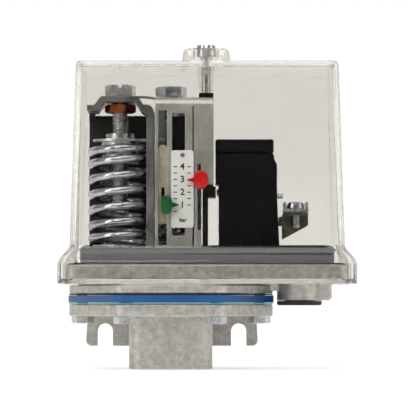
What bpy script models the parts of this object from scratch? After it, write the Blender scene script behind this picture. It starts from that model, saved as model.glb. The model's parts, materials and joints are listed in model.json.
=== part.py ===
"""A diaphragm pressure switch: a cast base under a clear cover, with two spring-loaded setting screws,
a rocker, a snap switch and a six-bolt pressure flange. Metres, +Z up, the front faces -Y."""

import math

import bmesh
import bpy
from mathutils import Matrix, Vector

# Clearances shared by the whole object.
SEAT = 0.0001       # between faces that are clamped together
GAP = 0.0003        # between faces that only rest on each other
FIT = 0.0002        # round a pin or a screw in its hole
RUN = 0.0005        # round anything that travels

# Pressure port and diaphragm stack, centred on one vertical axis.
AXIS_X = -0.0132
BOSS_WIDTH = 0.0302
BOSS_HEIGHT = 0.0190
BOSS_CORNER = 0.0050
BOSS_EDGE = 0.0028
PORT_BORE = 0.0150
PORT_DEPTH = 0.0140
PRESSURE_HOLE = 0.0050
FLANGE_APOTHEM = 0.0329
FLANGE_CORNER = 0.0055
FLANGE_THICKNESS = 0.0043
FLANGE_BOLT_CIRCLE = 0.0323
GASKET_THICKNESS = 0.0004
RING_THICKNESS = 0.0026
RING_LIP = 0.0003
RING_BORE = 0.0225
DIAPHRAGM_THICKNESS = 0.0005
DISC_RADIUS = 0.0190
DISC_THICKNESS = 0.0016
PIN_RADIUS = 0.0022
CHAMBER_HEIGHT = 0.0038
BOLT_RADIUS = 0.0020
BOLT_HEAD_FLATS = 0.0070
BOLT_HEAD_HEIGHT = 0.0026

# Wall ears behind the port boss, with slots open at the bottom.
EAR_PITCH = 0.0500
EAR_SLOT = 0.0057
EAR_LEG = 0.0043
EAR_THICKNESS = 0.0035
WALL_CLEARANCE = 0.0002    # from the widest part of the stack to the wall
EAR_LENGTH = 0.0156        # from the flange's top down to the ends of the ears
EAR_SLOT_DEPTH = 0.0084

# Base casting: a hexagonal foot, a neck and a tray.
BASE_FOOT_THICKNESS = 0.0030
NECK_HEIGHT = 0.0020
TRAY_HALF_X = 0.0508
TRAY_HALF_Y = 0.0303
TRAY_CORNER = 0.0046
TRAY_BAND = 0.0052
TRAY_FLOOR = 0.0024
TRAY_WALL = 0.0020
TRAY_STEP = 0.0053
TRAY_WALL_HEIGHT = 0.0104
ENTRY_X = 0.0336
ENTRY_RADIUS = 0.0082
ENTRY_BORE = 0.0056
ENTRY_DEPTH = 0.0076
PLUG_FLANGE = 0.0016

# Clear cover, whose rim drops over the tray.
COVER_WALL = 0.0024
COVER_HEIGHT = 0.0759      # its flat top above the tray's floor
COVER_OVERHANG = 0.0027    # from the tray's edge out to the rim
COVER_BODY_INSET = 0.0016  # from the tray's edge in to the walls above the flare
COVER_TOP_INSET = 0.0037   # from the tray's edge in to the walls at the top
COVER_EDGE = 0.0015
COVER_SKIRT = 0.0016       # how far the rim hangs below the tray
COVER_SHOULDER = 0.0005    # from the tray's band up to the start of the flare
COVER_FLARE = 0.0067
LUG_HEIGHT = 0.0059
LUG_RADIUS = 0.0083
LUG_DRAFT = 0.0010
TUBE_WALL = 0.0010
COVER_SCREW_X = -0.0004
COVER_SCREW_RADIUS = 0.0015
COVER_SCREW_HEAD = 0.00355
COVER_SCREW_HEAD_HEIGHT = 0.0050
COVER_SCREW_PROUD = 0.0015
RING_HEIGHT = 0.0024       # from the bracket to the top of the screw's retaining ring
SEAL_WIDTH = 0.0020
SEAL_THICKNESS = 0.0007

# Spring bridge, main spring and its screw. Heights from here on are above the tray's floor.
MAIN_X = -0.0317
BRIDGE_SHEET = 0.0020
BRIDGE_HEIGHT = 0.0639
BRIDGE_DROP = 0.0032       # from the raised middle of the bridge to its shoulders
BRIDGE_HAT = 0.0067        # half the width of the raised middle
BRIDGE_CLEAR = 0.0007      # from the spring to the bridge's front and back edges
SIDE_WALL_REACH = 0.0098   # from the screw's axis to the side wall
SIDE_WALL_SHEET = 0.0026
SIDE_WINDOW_HALF_Y = 0.0080
SIDE_WINDOW_HEIGHT = 0.0559
MAIN_SPRING_RADIUS = 0.0118
MAIN_SPRING_WIRE = 0.0031
MAIN_SPRING_TURNS = 7
MAIN_SPRING_LENGTH = 0.0381
LEAF_SHEET = 0.0004
MAIN_SEAT_HEIGHT = 0.0029  # from the rocker's beam to the spring's foot
CARRIAGE_SHEET = 0.0009
SCREW_RADIUS = 0.0030
SCREW_HEAD_FLATS = 0.0100
MAIN_HEAD_HEIGHT = 0.0040
MAIN_SCREW_LENGTH = 0.0432
NUT_HEIGHT = 0.0032

# Central bracket with its windows, and the differential screw on the diaphragm axis.
BRACKET_SHEET = 0.0016
BRACKET_HEIGHT = 0.0634
BRACKET_LEFT_X = -0.0189
BRACKET_RIGHT_X = 0.0023
BRACKET_HALF_Y = 0.0145
BRACKET_BEND = 0.0028
BRACKET_SLOTS = (          # left and right from the bracket's left edge, bottom and top above the floor
    (0.0012, 0.0044, 0.0094, 0.0587),
    (0.0062, 0.0109, 0.0134, 0.0576),
    (0.0135, 0.0142, 0.0094, 0.0599),
    (0.0153, 0.0167, 0.0154, 0.0392),
)
DIFF_SPRING_RADIUS = 0.0062
DIFF_SPRING_WIRE = 0.0016
DIFF_SPRING_TURNS = 5
DIFF_SPRING_LENGTH = 0.0180
DIFF_SEAT_HEIGHT = 0.0024
DIFF_HEAD_HEIGHT = 0.0036
DIFF_SCREW_LENGTH = 0.0490
SLIDER_HEIGHT = 0.0080
SLIDER_TONGUE_TOP = 0.0566
SCALE_LEFT_X = -0.0130
SCALE_RIGHT_X = -0.0049
SCALE_BOTTOM = 0.0162
SCALE_TOP = 0.0441
SCALE_SHEET = 0.0008
GUIDE_WIDTH = 0.0034
GUIDE_THICKNESS = 0.0029
GUIDE_BOTTOM = 0.0176
GREEN_POINTER_HEIGHT = 0.0244
RED_POINTER_HEIGHT = 0.0334
POINTER_THICKNESS = 0.0021

# Rocker and snap switch.
PIVOT_X = -0.0007
PIVOT_HEIGHT = 0.0049
PIVOT_RADIUS = 0.0015
PIVOT_EAR = 0.0025
ROCKER_HALF_Y = 0.0070
BEAM_THICKNESS = 0.0032
LEVER_HEIGHT = 0.0314
LEVER_HEAD = 0.0040
SWITCH_LEFT_X = 0.0042
SWITCH_RIGHT_X = 0.0261
SWITCH_HALF_Y = 0.0130
SWITCH_HEIGHT = 0.0482
LID_THICKNESS = 0.0049
SWITCH_OVERHANG = 0.0012   # how far the switch's upper part reaches over the lever
CHAMBER_FLOOR = 0.0134
SWITCH_PLUNGER_RADIUS = 0.0012
BLADE_SHEET = 0.0004
CONTACT_SHEET = 0.0008
CONTACT_BUTTON = 0.0007    # how far the moving contact stands out of its blade, each way
CONTACT_THROW = 0.0009
TERMINAL_PITCH = 0.0085
TERMINAL_REACH = 0.0059    # from the switch's side to the screws
TERMINAL_HEIGHT = 0.0218
TERMINAL_HALF_Y = 0.0036
TERMINAL_SHEET = 0.0009
TERMINAL_SCREW_RADIUS = 0.0018

for leftover in list(bpy.data.objects):
    bpy.data.objects.remove(leftover)
parts = bpy.data.collections.new("pressure_switch")
cutters = bpy.data.collections.new("cutters")
bpy.context.scene.collection.children.link(parts)
bpy.context.scene.collection.children.link(cutters)

# Finishes: colour, roughness, metallic.
CAST_ALUMINIUM = ((0.42, 0.41, 0.38), 0.55, 1.0)
SHEET_STEEL = ((0.40, 0.40, 0.38), 0.38, 1.0)
ZINC = ((0.62, 0.64, 0.66), 0.22, 1.0)
BRASS = ((0.55, 0.40, 0.18), 0.35, 1.0)
COPPERED = ((0.48, 0.16, 0.06), 0.40, 1.0)
BLACK_PLASTIC = ((0.010, 0.010, 0.011), 0.45, 0.0)
BLACK_STEEL = ((0.015, 0.015, 0.016), 0.50, 0.3)
RUBBER = ((0.012, 0.012, 0.013), 0.80, 0.0)
BLUE_RING = ((0.003, 0.10, 0.47), 0.45, 0.0)
GREEN_GASKET = ((0.09, 0.38, 0.33), 0.70, 0.0)
RED_PLASTIC = ((0.62, 0.012, 0.010), 0.35, 0.0)
GREEN_PLASTIC = ((0.012, 0.10, 0.018), 0.40, 0.0)
CREAM_PLASTIC = ((0.58, 0.54, 0.45), 0.45, 0.0)
SCALE_WHITE = ((0.56, 0.57, 0.56), 0.50, 0.0)
CLEAR_PLASTIC = ((0.80, 0.79, 0.77), 0.06, 0.0)
TERMINAL_METAL = ((0.20, 0.20, 0.15), 0.35, 1.0)

UPRIGHT = Matrix.Rotation(math.pi / 2, 4, "X")                      # outline (x, z), thickness towards -Y
SIDEWAYS = Matrix(((0, 0, 1, 0), (1, 0, 0, 0), (0, 1, 0, 0), (0, 0, 0, 1)))   # outline (y, z), thickness +X


def finish(name, look):
    """The named sub-part's own material."""
    colour, roughness, metallic = look
    material = bpy.data.materials.new(name + "_finish")
    material.use_nodes = True
    shader = material.node_tree.nodes["Principled BSDF"]
    shader.inputs["Base Color"].default_value = (*colour, 1.0)
    shader.inputs["Roughness"].default_value = roughness
    shader.inputs["Metallic"].default_value = metallic
    if look is CLEAR_PLASTIC:
        shader.inputs["Transmission Weight"].default_value = 0.95
    return material


def new_object(name, mesh, look):
    """A sub-part where a look is given, and otherwise a hidden tool for a Boolean."""
    obj = bpy.data.objects.new(name, mesh)
    if look is None:
        cutters.objects.link(obj)
        obj.hide_render = True
        obj.display_type = "WIRE"
        return obj
    parts.objects.link(obj)
    mesh.materials.append(finish(name, look))
    mesh.shade_smooth()
    mesh.set_sharp_from_angle(angle=math.radians(35))
    return obj


def from_bmesh(name, look, bm):
    mesh = bpy.data.meshes.new(name)
    bm.to_mesh(mesh)
    bm.free()
    return new_object(name, mesh, look)


def box(name, look, low, high):
    bm = bmesh.new()
    bmesh.ops.create_cube(bm, size=1)
    size = [b - a for a, b in zip(low, high)]
    middle = [(a + b) / 2 for a, b in zip(low, high)]
    bm.transform(Matrix.Translation(middle) @ Matrix.Diagonal((*size, 1)))
    return from_bmesh(name, look, bm)


def rod(name, look, start, end, radius, sides=24, end_radius=None, turn=0.0):
    """A cylinder, cone or many-sided prism between two points."""
    start, end = Vector(start), Vector(end)
    way = end - start
    bm = bmesh.new()
    bmesh.ops.create_cone(
        bm, cap_ends=True, segments=sides, radius1=radius,
        radius2=radius if end_radius is None else end_radius, depth=way.length,
    )
    point = way.to_track_quat("Z", "Y").to_matrix().to_4x4()
    bm.transform(Matrix.Translation((start + end) / 2) @ point @ Matrix.Rotation(turn, 4, "Z"))
    return from_bmesh(name, look, bm)


def hexagon_bar(name, look, x, y, bottom, top, flats, turn=0.0):
    """A six-sided prism on a vertical axis, with a flat towards -Y before it is turned."""
    return rod(name, look, (x, y, bottom), (x, y, top), flats / math.sqrt(3), 6, turn=turn + math.pi / 6)


def turned(name, look, profile, x, y, sides=22):
    """A solid of revolution about a vertical axis, from (radius, z) points down its outer side."""
    bm = bmesh.new()
    points = [bm.verts.new((radius, 0, z)) for radius, z in profile]
    for upper, lower in zip(points, points[1:]):
        bm.edges.new((upper, lower))
    obj = from_bmesh(name, look, bm)
    obj.location = (x, y, 0)
    screw = obj.modifiers.new("turn", "SCREW")
    screw.steps = screw.render_steps = sides
    screw.use_merge_vertices = True
    screw.merge_threshold = 0.00001
    return obj


def mesh_of_curve(name, look, curve, place):
    """The curve's solid as a mesh, with its caps welded on."""
    guide = bpy.data.objects.new(name + "_guide", curve)
    cutters.objects.link(guide)
    bpy.context.view_layer.update()
    graph = bpy.context.evaluated_depsgraph_get()
    mesh = bpy.data.meshes.new_from_object(guide.evaluated_get(graph))
    mesh.name = name
    bm = bmesh.new()
    bm.from_mesh(mesh)
    bmesh.ops.remove_doubles(bm, verts=bm.verts, dist=0.000001)
    bm.transform(place)
    bmesh.ops.recalc_face_normals(bm, faces=bm.faces)
    bm.to_mesh(mesh)
    bm.free()
    bpy.data.objects.remove(guide)
    mesh.materials.clear()
    return new_object(name, mesh, look)


def plate(name, look, outlines, thickness, place):
    """A flat plate from closed outlines, the first its edge and any others holes, upwards before it is placed."""
    curve = bpy.data.curves.new(name, "CURVE")
    curve.dimensions = "2D"
    curve.fill_mode = "BOTH"
    curve.extrude = thickness / 2
    for outline in outlines:
        spline = curve.splines.new("POLY")
        spline.points.add(len(outline) - 1)
        for point, (u, v) in zip(spline.points, outline):
            point.co = (u, v, 0, 1)
        spline.use_cyclic_u = True
    return mesh_of_curve(name, look, curve, place @ Matrix.Translation((0, 0, thickness / 2)))


def coil(name, look, x, bottom, top, outer_radius, wire, turns, per_turn=12, roundness=2):
    """A right-hand compression spring on a vertical axis at y = 0, its end turns wound closed."""
    closed = wire + GAP
    middle_pitch = (top - bottom - wire - 2 * closed) / (turns - 2)
    curve = bpy.data.curves.new(name, "CURVE")
    curve.dimensions = "3D"
    curve.bevel_depth = wire / 2
    curve.bevel_resolution = roundness
    curve.use_fill_caps = True
    spline = curve.splines.new("POLY")
    spline.points.add(turns * per_turn)
    for index, point in enumerate(spline.points):
        turn = index / per_turn
        height = min(turn, 1) * closed + max(0, min(turn - 1, turns - 2)) * middle_pitch
        height += max(0, turn - turns + 1) * closed
        angle = 2 * math.pi * turn
        radius = outer_radius - wire / 2
        point.co = (radius * math.cos(angle), radius * math.sin(angle), height, 1)
    return mesh_of_curve(name, look, curve, Matrix.Translation((x, 0, bottom + wire / 2)))


def boolean(obj, operation, tools):
    for tool in tools:
        modifier = obj.modifiers.new(operation.lower(), "BOOLEAN")
        modifier.operation = operation
        modifier.object = tool


def cut(obj, *tools):
    boolean(obj, "DIFFERENCE", tools)


def join(obj, *tools):
    boolean(obj, "UNION", tools)


def soften(obj, width, segments=2):
    bevel = obj.modifiers.new("soft edges", "BEVEL")
    bevel.width = width
    bevel.segments = segments
    bevel.limit_method = "ANGLE"
    bevel.angle_limit = math.radians(40)


def arc(x, y, radius, start, end, steps):
    """Points round a centre from one angle to the other, in degrees, both ends included."""
    angles = [math.radians(start + (end - start) * step / steps) for step in range(steps + 1)]
    return [(x + radius * math.cos(angle), y + radius * math.sin(angle)) for angle in angles]


def rounded_rectangle(low, high, radius, steps=4):
    (x0, y0), (x1, y1) = low, high
    return (
        arc(x1 - radius, y0 + radius, radius, -90, 0, steps)
        + arc(x1 - radius, y1 - radius, radius, 0, 90, steps)
        + arc(x0 + radius, y1 - radius, radius, 90, 180, steps)
        + arc(x0 + radius, y0 + radius, radius, 180, 270, steps)
    )


def rounded_hexagon(x, apothem, corner, steps=3):
    """A regular hexagon with a flat towards -Y and its corners rounded."""
    points = []
    for index in range(6):
        middle = 60 * index
        reach = (apothem - corner) / math.cos(math.pi / 6)
        centre_x = x + reach * math.cos(math.radians(middle))
        centre_y = reach * math.sin(math.radians(middle))
        points += arc(centre_x, centre_y, corner, middle - 30, middle + 30, steps)
    return points


def circle(x, y, radius, steps=24):
    return arc(x, y, radius, 0, 360 * (steps - 1) / steps, steps - 1)


def lifted(z):
    return Matrix.Translation((0, 0, z))


def standing(back_y):
    """Places a plate drawn as (x, z) upright, with its back face at this depth."""
    return Matrix.Translation((0, back_y, 0)) @ UPRIGHT


def pivot_empty(name, x, y, z, *riders):
    """An empty on a joint's axis that carries the pieces which move about it."""
    empty = bpy.data.objects.new(name, None)
    empty.location = (x, y, z)
    empty.empty_display_size = 0.005
    parts.objects.link(empty)
    for rider in riders:
        rider.parent = empty
        rider.matrix_parent_inverse = Matrix.Translation((-x, -y, -z))
    return empty


# ---------------------------------------------------------------- pressure side
flange_top = BOSS_HEIGHT + FLANGE_THICKNESS
wall_y = FLANGE_APOTHEM + RING_LIP + WALL_CLEARANCE
gasket_bottom = flange_top + SEAT
ring_bottom = gasket_bottom + GASKET_THICKNESS + SEAT
diaphragm_bottom = ring_bottom + RING_THICKNESS + SEAT
base_bottom = diaphragm_bottom + DIAPHRAGM_THICKNESS + SEAT
foot_top = base_bottom + BASE_FOOT_THICKNESS
tray_bottom = foot_top + NECK_HEIGHT
floor_top = tray_bottom + TRAY_FLOOR
band_top = tray_bottom + TRAY_BAND
ear_bottom = flange_top - EAR_LENGTH
cover_top = floor_top + COVER_HEIGHT
bridge_top = floor_top + BRIDGE_HEIGHT
bracket_top = floor_top + BRACKET_HEIGHT
pivot_z = floor_top + PIVOT_HEIGHT
beam_top = pivot_z + BEAM_THICKNESS / 2
lever_top = floor_top + LEVER_HEIGHT
bolt_places = [
    (
        AXIS_X + FLANGE_BOLT_CIRCLE * math.cos(math.radians(60 * index)),
        FLANGE_BOLT_CIRCLE * math.sin(math.radians(60 * index)),
    )
    for index in range(6)
]


def bolt_holes(steps=10):
    return [circle(x, y, BOLT_RADIUS + FIT, steps) for x, y in bolt_places]


def make_port_flange():
    """The lower casting: a square boss with the port, the hexagonal flange and the wall ears."""
    half = BOSS_WIDTH / 2
    boss_outline = rounded_rectangle((AXIS_X - half, -half), (AXIS_X + half, half), BOSS_CORNER)
    overlap = 0.001
    boss = plate("boss", None, [boss_outline], BOSS_HEIGHT + overlap, lifted(0))
    soften(boss, BOSS_EDGE, 3)
    hexagon = rounded_hexagon(AXIS_X, FLANGE_APOTHEM, FLANGE_CORNER)
    flange = plate("port_flange", CAST_ALUMINIUM, [hexagon], FLANGE_THICKNESS, lifted(BOSS_HEIGHT))
    soften(flange, 0.0004, 1)
    join(flange, boss, make_ears(), box(
        "ear_web", None,
        (AXIS_X - 0.009, half - overlap, ear_bottom + 0.002),
        (AXIS_X + 0.009, wall_y - EAR_THICKNESS + overlap, BOSS_HEIGHT + overlap),
    ))
    head_reach, below_head = BOLT_HEAD_FLATS / math.sqrt(3) + 2 * GAP, BOSS_HEIGHT - BOLT_HEAD_HEIGHT - RUN
    pockets = [
        rod("head_pocket", None, (x, y, below_head), (x, y, BOSS_HEIGHT), head_reach, 24)
        for x, y in bolt_places if y > half
    ]
    holes = [
        rod("bolt_hole", None, (x, y, below_head), (x, y, flange_top + overlap), BOLT_RADIUS + FIT, 12, turn=0.2)
        for x, y in bolt_places
    ]
    bore = turned("port_bore", None, [
        (0, flange_top - 0.0012), (PRESSURE_HOLE / 2, flange_top - 0.0012), (PRESSURE_HOLE / 2, PORT_DEPTH),
        (PORT_BORE / 2, PORT_DEPTH - 0.0015), (PORT_BORE / 2, 0.001), (PORT_BORE / 2 + 0.001, 0),
        (PORT_BORE / 2 + 0.001, -0.001), (0, -0.001),
    ], AXIS_X, 0, 32)
    recess = rod("recess", None, (AXIS_X, 0, flange_top - 0.0015), (AXIS_X, 0, flange_top + overlap), RING_BORE, 30)
    cut(flange, *pockets, *holes, bore, recess)


def make_ears():
    """One plate behind the boss, with an ear and an open slot at each side."""
    reach = EAR_PITCH / 2 + EAR_SLOT / 2 + EAR_LEG
    slot_radius = EAR_SLOT / 2
    arch_z = ear_bottom + EAR_SLOT_DEPTH - slot_radius
    foot = EAR_LEG / 2 - 0.0001
    outline = []
    for side in (1, -1):
        slot_x = AXIS_X + side * EAR_PITCH / 2
        leg_x = AXIS_X + side * (reach - foot)
        edge = [(AXIS_X + side * (reach - 0.0008), flange_top - 0.001)]
        edge += arc(leg_x, ear_bottom + foot, foot, 0 if side > 0 else 180, -90 if side > 0 else 270, 4)
        edge += [(slot_x + side * slot_radius, ear_bottom)]
        if side > 0:
            edge += arc(slot_x, arch_z, slot_radius, 0, 180, 8)
        else:
            edge += arc(slot_x, arch_z, slot_radius, 180, 0, 8)
        edge += [(slot_x - side * slot_radius, ear_bottom)]
        outline += edge if side > 0 else edge[::-1]
    ears = plate("ears", None, [outline], EAR_THICKNESS, standing(wall_y))
    soften(ears, 0.0004, 1)
    return ears


def make_diaphragm_stack():
    """Gasket, spacer ring and diaphragm, with the plate and the pin that the diaphragm pushes."""
    hexagon = rounded_hexagon(AXIS_X, FLANGE_APOTHEM, FLANGE_CORNER)
    wider = rounded_hexagon(AXIS_X, FLANGE_APOTHEM + RING_LIP, FLANGE_CORNER)
    opening = circle(AXIS_X, 0, RING_BORE, 30)
    plate("port_gasket", GREEN_GASKET, [hexagon, opening, *bolt_holes()], GASKET_THICKNESS, lifted(gasket_bottom))
    plate("spacer_ring", BLUE_RING, [wider, opening, *bolt_holes()], RING_THICKNESS, lifted(ring_bottom))
    plate("diaphragm", RUBBER, [hexagon, *bolt_holes()], DIAPHRAGM_THICKNESS, lifted(diaphragm_bottom))
    disc_bottom = base_bottom + GAP
    disc_top = disc_bottom + DISC_THICKNESS
    pressure_disc = turned("pressure_plate", ZINC, [
        (0, disc_top), (DISC_RADIUS - 0.0005, disc_top), (DISC_RADIUS, disc_top - 0.0005),
        (DISC_RADIUS, disc_bottom + 0.0004), (DISC_RADIUS - 0.0004, disc_bottom), (0, disc_bottom),
    ], AXIS_X, 0)
    pin_bottom = disc_top + SEAT
    pin_top = pivot_z - BEAM_THICKNESS / 2 - GAP
    foot_height = 0.0012
    pin = turned("plunger_pin", ZINC, [
        (0, pin_top), (PIN_RADIUS - 0.0008, pin_top), (PIN_RADIUS, pin_top - 0.0008),
        (PIN_RADIUS, pin_bottom + foot_height), (PIN_RADIUS + 0.0020, pin_bottom + foot_height),
        (PIN_RADIUS + 0.0020, pin_bottom), (0, pin_bottom),
    ], AXIS_X, 0, 24)
    pivot_empty("plunger_axis", AXIS_X, 0, pin_bottom, pressure_disc, pin)


def make_flange_bolts():
    """Six hexagon-head screws that go up through the flange into the base."""
    for index, (x, y) in enumerate(bolt_places):
        head_top = BOSS_HEIGHT - SEAT
        head_bottom = head_top - BOLT_HEAD_HEIGHT
        bolt = hexagon_bar(f"flange_screw_{index + 1}", ZINC, x, y, head_bottom, head_top, BOLT_HEAD_FLATS)
        join(bolt, rod("bolt_shank", None, (x, y, head_top - 0.001), (x, y, foot_top - 0.0008), BOLT_RADIUS, 12))


def make_base_casting():
    """The upper casting: the hexagonal foot over the diaphragm, the neck, the tray and the cable entry."""
    low, high = (-TRAY_HALF_X, -TRAY_HALF_Y), (TRAY_HALF_X, TRAY_HALF_Y)
    overlap = 0.0006
    base = plate("base_casting", CAST_ALUMINIUM, [rounded_rectangle(low, high, TRAY_CORNER)],
                 TRAY_BAND, lifted(tray_bottom))
    soften(base, 0.0006, 1)
    foot = plate("foot", None, [rounded_hexagon(AXIS_X, FLANGE_APOTHEM, FLANGE_CORNER)],
                 BASE_FOOT_THICKNESS, lifted(base_bottom))
    soften(foot, 0.0004, 1)
    neck = plate("neck", None, [rounded_hexagon(AXIS_X, FLANGE_APOTHEM - 0.0028, FLANGE_CORNER)],
                 NECK_HEIGHT + 2 * overlap, lifted(foot_top - overlap))
    step = TRAY_STEP
    wall = plate("tray_wall", None, [rounded_rectangle(
        (low[0] + step, low[1] + step), (high[0] - step, high[1] - step), TRAY_CORNER - 0.001,
    )], TRAY_WALL_HEIGHT - TRAY_BAND + overlap, lifted(band_top - overlap))
    soften(wall, 0.0005, 1)
    entry_bottom = tray_bottom - ENTRY_DEPTH
    entry = rod("entry", None, (ENTRY_X, 0, entry_bottom), (ENTRY_X, 0, tray_bottom + overlap), ENTRY_RADIUS, 32)
    soften(entry, 0.0004, 1)
    rib = box("rib", None, (AXIS_X + 0.030, -0.003, foot_top - 0.002), (ENTRY_X, 0.003, tray_bottom + overlap))
    lug = box("tray_lug", None, (ENTRY_X + ENTRY_RADIUS - 0.002, -0.004, entry_bottom + SEAT),
              (ENTRY_X + ENTRY_RADIUS + 0.0035, 0.004, tray_bottom + overlap))
    soften(lug, 0.0010, 1)
    join(base, foot, neck, wall, entry, rib, lug)
    inset = step + TRAY_WALL
    pocket = plate("tray_pocket", None, [rounded_rectangle(
        (low[0] + inset, low[1] + inset), (high[0] - inset, high[1] - inset), TRAY_CORNER - 0.0025,
    )], TRAY_WALL_HEIGHT, lifted(floor_top))
    chamber = rod("chamber", None, (AXIS_X, 0, base_bottom - overlap), (AXIS_X, 0, base_bottom + CHAMBER_HEIGHT),
                  DISC_RADIUS + 0.0015, 30)
    guide = rod("pin_guide", None, (AXIS_X, 0, base_bottom), (AXIS_X, 0, floor_top + overlap), PIN_RADIUS + FIT, 24)
    wires = rod("entry_bore", None, (ENTRY_X, 0, entry_bottom - overlap), (ENTRY_X, 0, floor_top + overlap),
                ENTRY_BORE, 24)
    holes = [
        rod("base_hole", None, (x, y, base_bottom - overlap), (x, y, foot_top - 0.0004), BOLT_RADIUS + FIT, 12)
        for x, y in bolt_places
    ]
    cut(base, pocket, chamber, guide, wires, *holes)
    for side in (-1, 1):
        near = ROCKER_HALF_Y + RUN
        far = near + PIVOT_EAR
        ear = box("pivot_ear", None, (PIVOT_X - 0.0032, min(side * near, side * far), floor_top - overlap),
                  (PIVOT_X + 0.0032, max(side * near, side * far), pivot_z + 0.0034))
        soften(ear, 0.0006, 1)
        join(base, ear)
    cut(base, rod("pivot_hole", None, (PIVOT_X, -far - overlap, pivot_z), (PIVOT_X, far + overlap, pivot_z),
                  PIVOT_RADIUS + FIT, 20))


def make_entry_plug():
    """A rubber plug that closes the cable entry from below."""
    top = tray_bottom - ENTRY_DEPTH - SEAT
    turned("entry_plug", RUBBER, [
        (0, top + 0.0052), (ENTRY_BORE - 0.0012, top + 0.0052), (ENTRY_BORE - FIT, top + 0.0042),
        (ENTRY_BORE - FIT, top), (ENTRY_RADIUS, top), (ENTRY_RADIUS, top - PLUG_FLANGE + 0.0004),
        (ENTRY_RADIUS - 0.0006, top - PLUG_FLANGE), (0, top - PLUG_FLANGE),
    ], ENTRY_X, 0, 32)


# ---------------------------------------------------------------- cover
def cover_section(outset, z):
    """The cover's outline at one height, this far out from the tray's edge and rounder towards the rim."""
    corner = max(0.0020 + 0.7 * (outset + COVER_TOP_INSET), 0.0008)
    half_x, half_y = TRAY_HALF_X + outset, TRAY_HALF_Y + outset
    return [(x, y, z) for x, y in rounded_rectangle((-half_x, -half_y), (half_x, half_y), corner, 4)]


def make_cover():
    """The clear cover: drafted walls, a flared rim, and a lug with a guide tube for its screw."""
    rim_bottom = tray_bottom - COVER_SKIRT
    rim_top = band_top + COVER_SHOULDER
    flare = COVER_OVERHANG + COVER_BODY_INSET
    levels = [
        (COVER_OVERHANG, rim_bottom), (COVER_OVERHANG, rim_top),
        (COVER_OVERHANG - 0.12 * flare, rim_top + 0.18 * COVER_FLARE),
        (0.10 * flare - COVER_BODY_INSET, rim_top + 0.8 * COVER_FLARE),
        (-COVER_BODY_INSET, rim_top + COVER_FLARE),
    ]
    levels += arc(-COVER_TOP_INSET - COVER_EDGE, cover_top - COVER_EDGE, COVER_EDGE, 0, 90, 3)
    bm = bmesh.new()
    rings = [[bm.verts.new(point) for point in cover_section(*level)] for level in levels]
    for ring in rings:
        for first, second in zip(ring, ring[1:] + ring[:1]):
            bm.edges.new((first, second))
    bm.edges.index_update()
    for lower, upper in zip(rings, rings[1:]):
        both = set(lower) | set(upper)
        loops = [edge for edge in bm.edges if set(edge.verts) <= both]
        bmesh.ops.bridge_loops(bm, edges=loops)
    bm.faces.new(rings[-1])
    bmesh.ops.recalc_face_normals(bm, faces=bm.faces)
    cover = from_bmesh("cover", CLEAR_PLASTIC, bm)
    shell = cover.modifiers.new("wall", "SOLIDIFY")
    shell.thickness = COVER_WALL
    shell.offset = -1
    shell.use_even_offset = True
    x = COVER_SCREW_X
    inside = cover_top - COVER_WALL / 2
    lug_top = cover_top + LUG_HEIGHT
    lug = rod("lug", None, (x, 0, inside), (x, 0, lug_top), LUG_RADIUS + LUG_DRAFT, 32, LUG_RADIUS)
    soften(lug, 0.0005, 1)
    tube_bottom = bracket_top + RING_HEIGHT + 2 * GAP
    tube_radius = COVER_SCREW_RADIUS + FIT + TUBE_WALL
    tube = rod("tube", None, (x, 0, tube_bottom), (x, 0, inside), tube_radius, 24, tube_radius + 0.0004)
    join(cover, lug, tube)
    hole = rod("screw_hole", None, (x, 0, tube_bottom - 0.001), (x, 0, lug_top), COVER_SCREW_RADIUS + FIT, 20)
    screw_top = lug_top + COVER_SCREW_PROUD
    seat_z = screw_top - COVER_SCREW_HEAD_HEIGHT - SEAT
    sink = rod("head_sink", None, (x, 0, seat_z), (x, 0, lug_top + 0.001), COVER_SCREW_HEAD + RUN, 24)
    cut(cover, hole, sink)
    make_cover_screw(seat_z + SEAT, screw_top)
    make_cover_seal()
    pivot_empty("cover_axis", 0, 0, rim_bottom, cover)


def make_cover_screw(head_bottom, top):
    """The long slotted screw, held captive in the cover by a ring under the guide tube."""
    x = COVER_SCREW_X
    tip = bracket_top - BRACKET_SHEET - 0.0012
    screw = turned("cover_screw", ZINC, [
        (0, top), (COVER_SCREW_HEAD - 0.0004, top),
        (COVER_SCREW_HEAD, top - 0.0004), (COVER_SCREW_HEAD, head_bottom),
        (COVER_SCREW_RADIUS, head_bottom), (COVER_SCREW_RADIUS, tip + 0.0005), (COVER_SCREW_RADIUS - 0.0005, tip),
        (0, tip),
    ], x, 0, 24)
    slot = box("cover_screw_slot", None, (x - 0.0005, -0.01, top - 0.0014),
               (x + 0.0005, 0.01, top + 0.001))
    cut(screw, slot)
    inner = COVER_SCREW_RADIUS + FIT
    ring = plate("screw_ring", BLACK_PLASTIC, [circle(x, 0, inner + TUBE_WALL, 24), circle(x, 0, inner, 20)],
                 RING_HEIGHT - GAP, lifted(bracket_top + GAP))
    pivot_empty("cover_screw_axis", x, 0, head_bottom, screw, ring)


def make_cover_seal():
    """A thin rubber seal that the cover's shoulder presses onto the tray."""
    edge = 0.0006
    outer = (TRAY_HALF_X - edge, TRAY_HALF_Y - edge)
    inner = (outer[0] - SEAL_WIDTH, outer[1] - SEAL_WIDTH)
    plate("cover_seal", RUBBER, [
        rounded_rectangle((-outer[0], -outer[1]), outer, TRAY_CORNER - edge),
        rounded_rectangle((-inner[0], -inner[1]), inner, TRAY_CORNER - edge - SEAL_WIDTH),
    ], SEAL_THICKNESS, lifted(band_top + SEAT))


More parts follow.
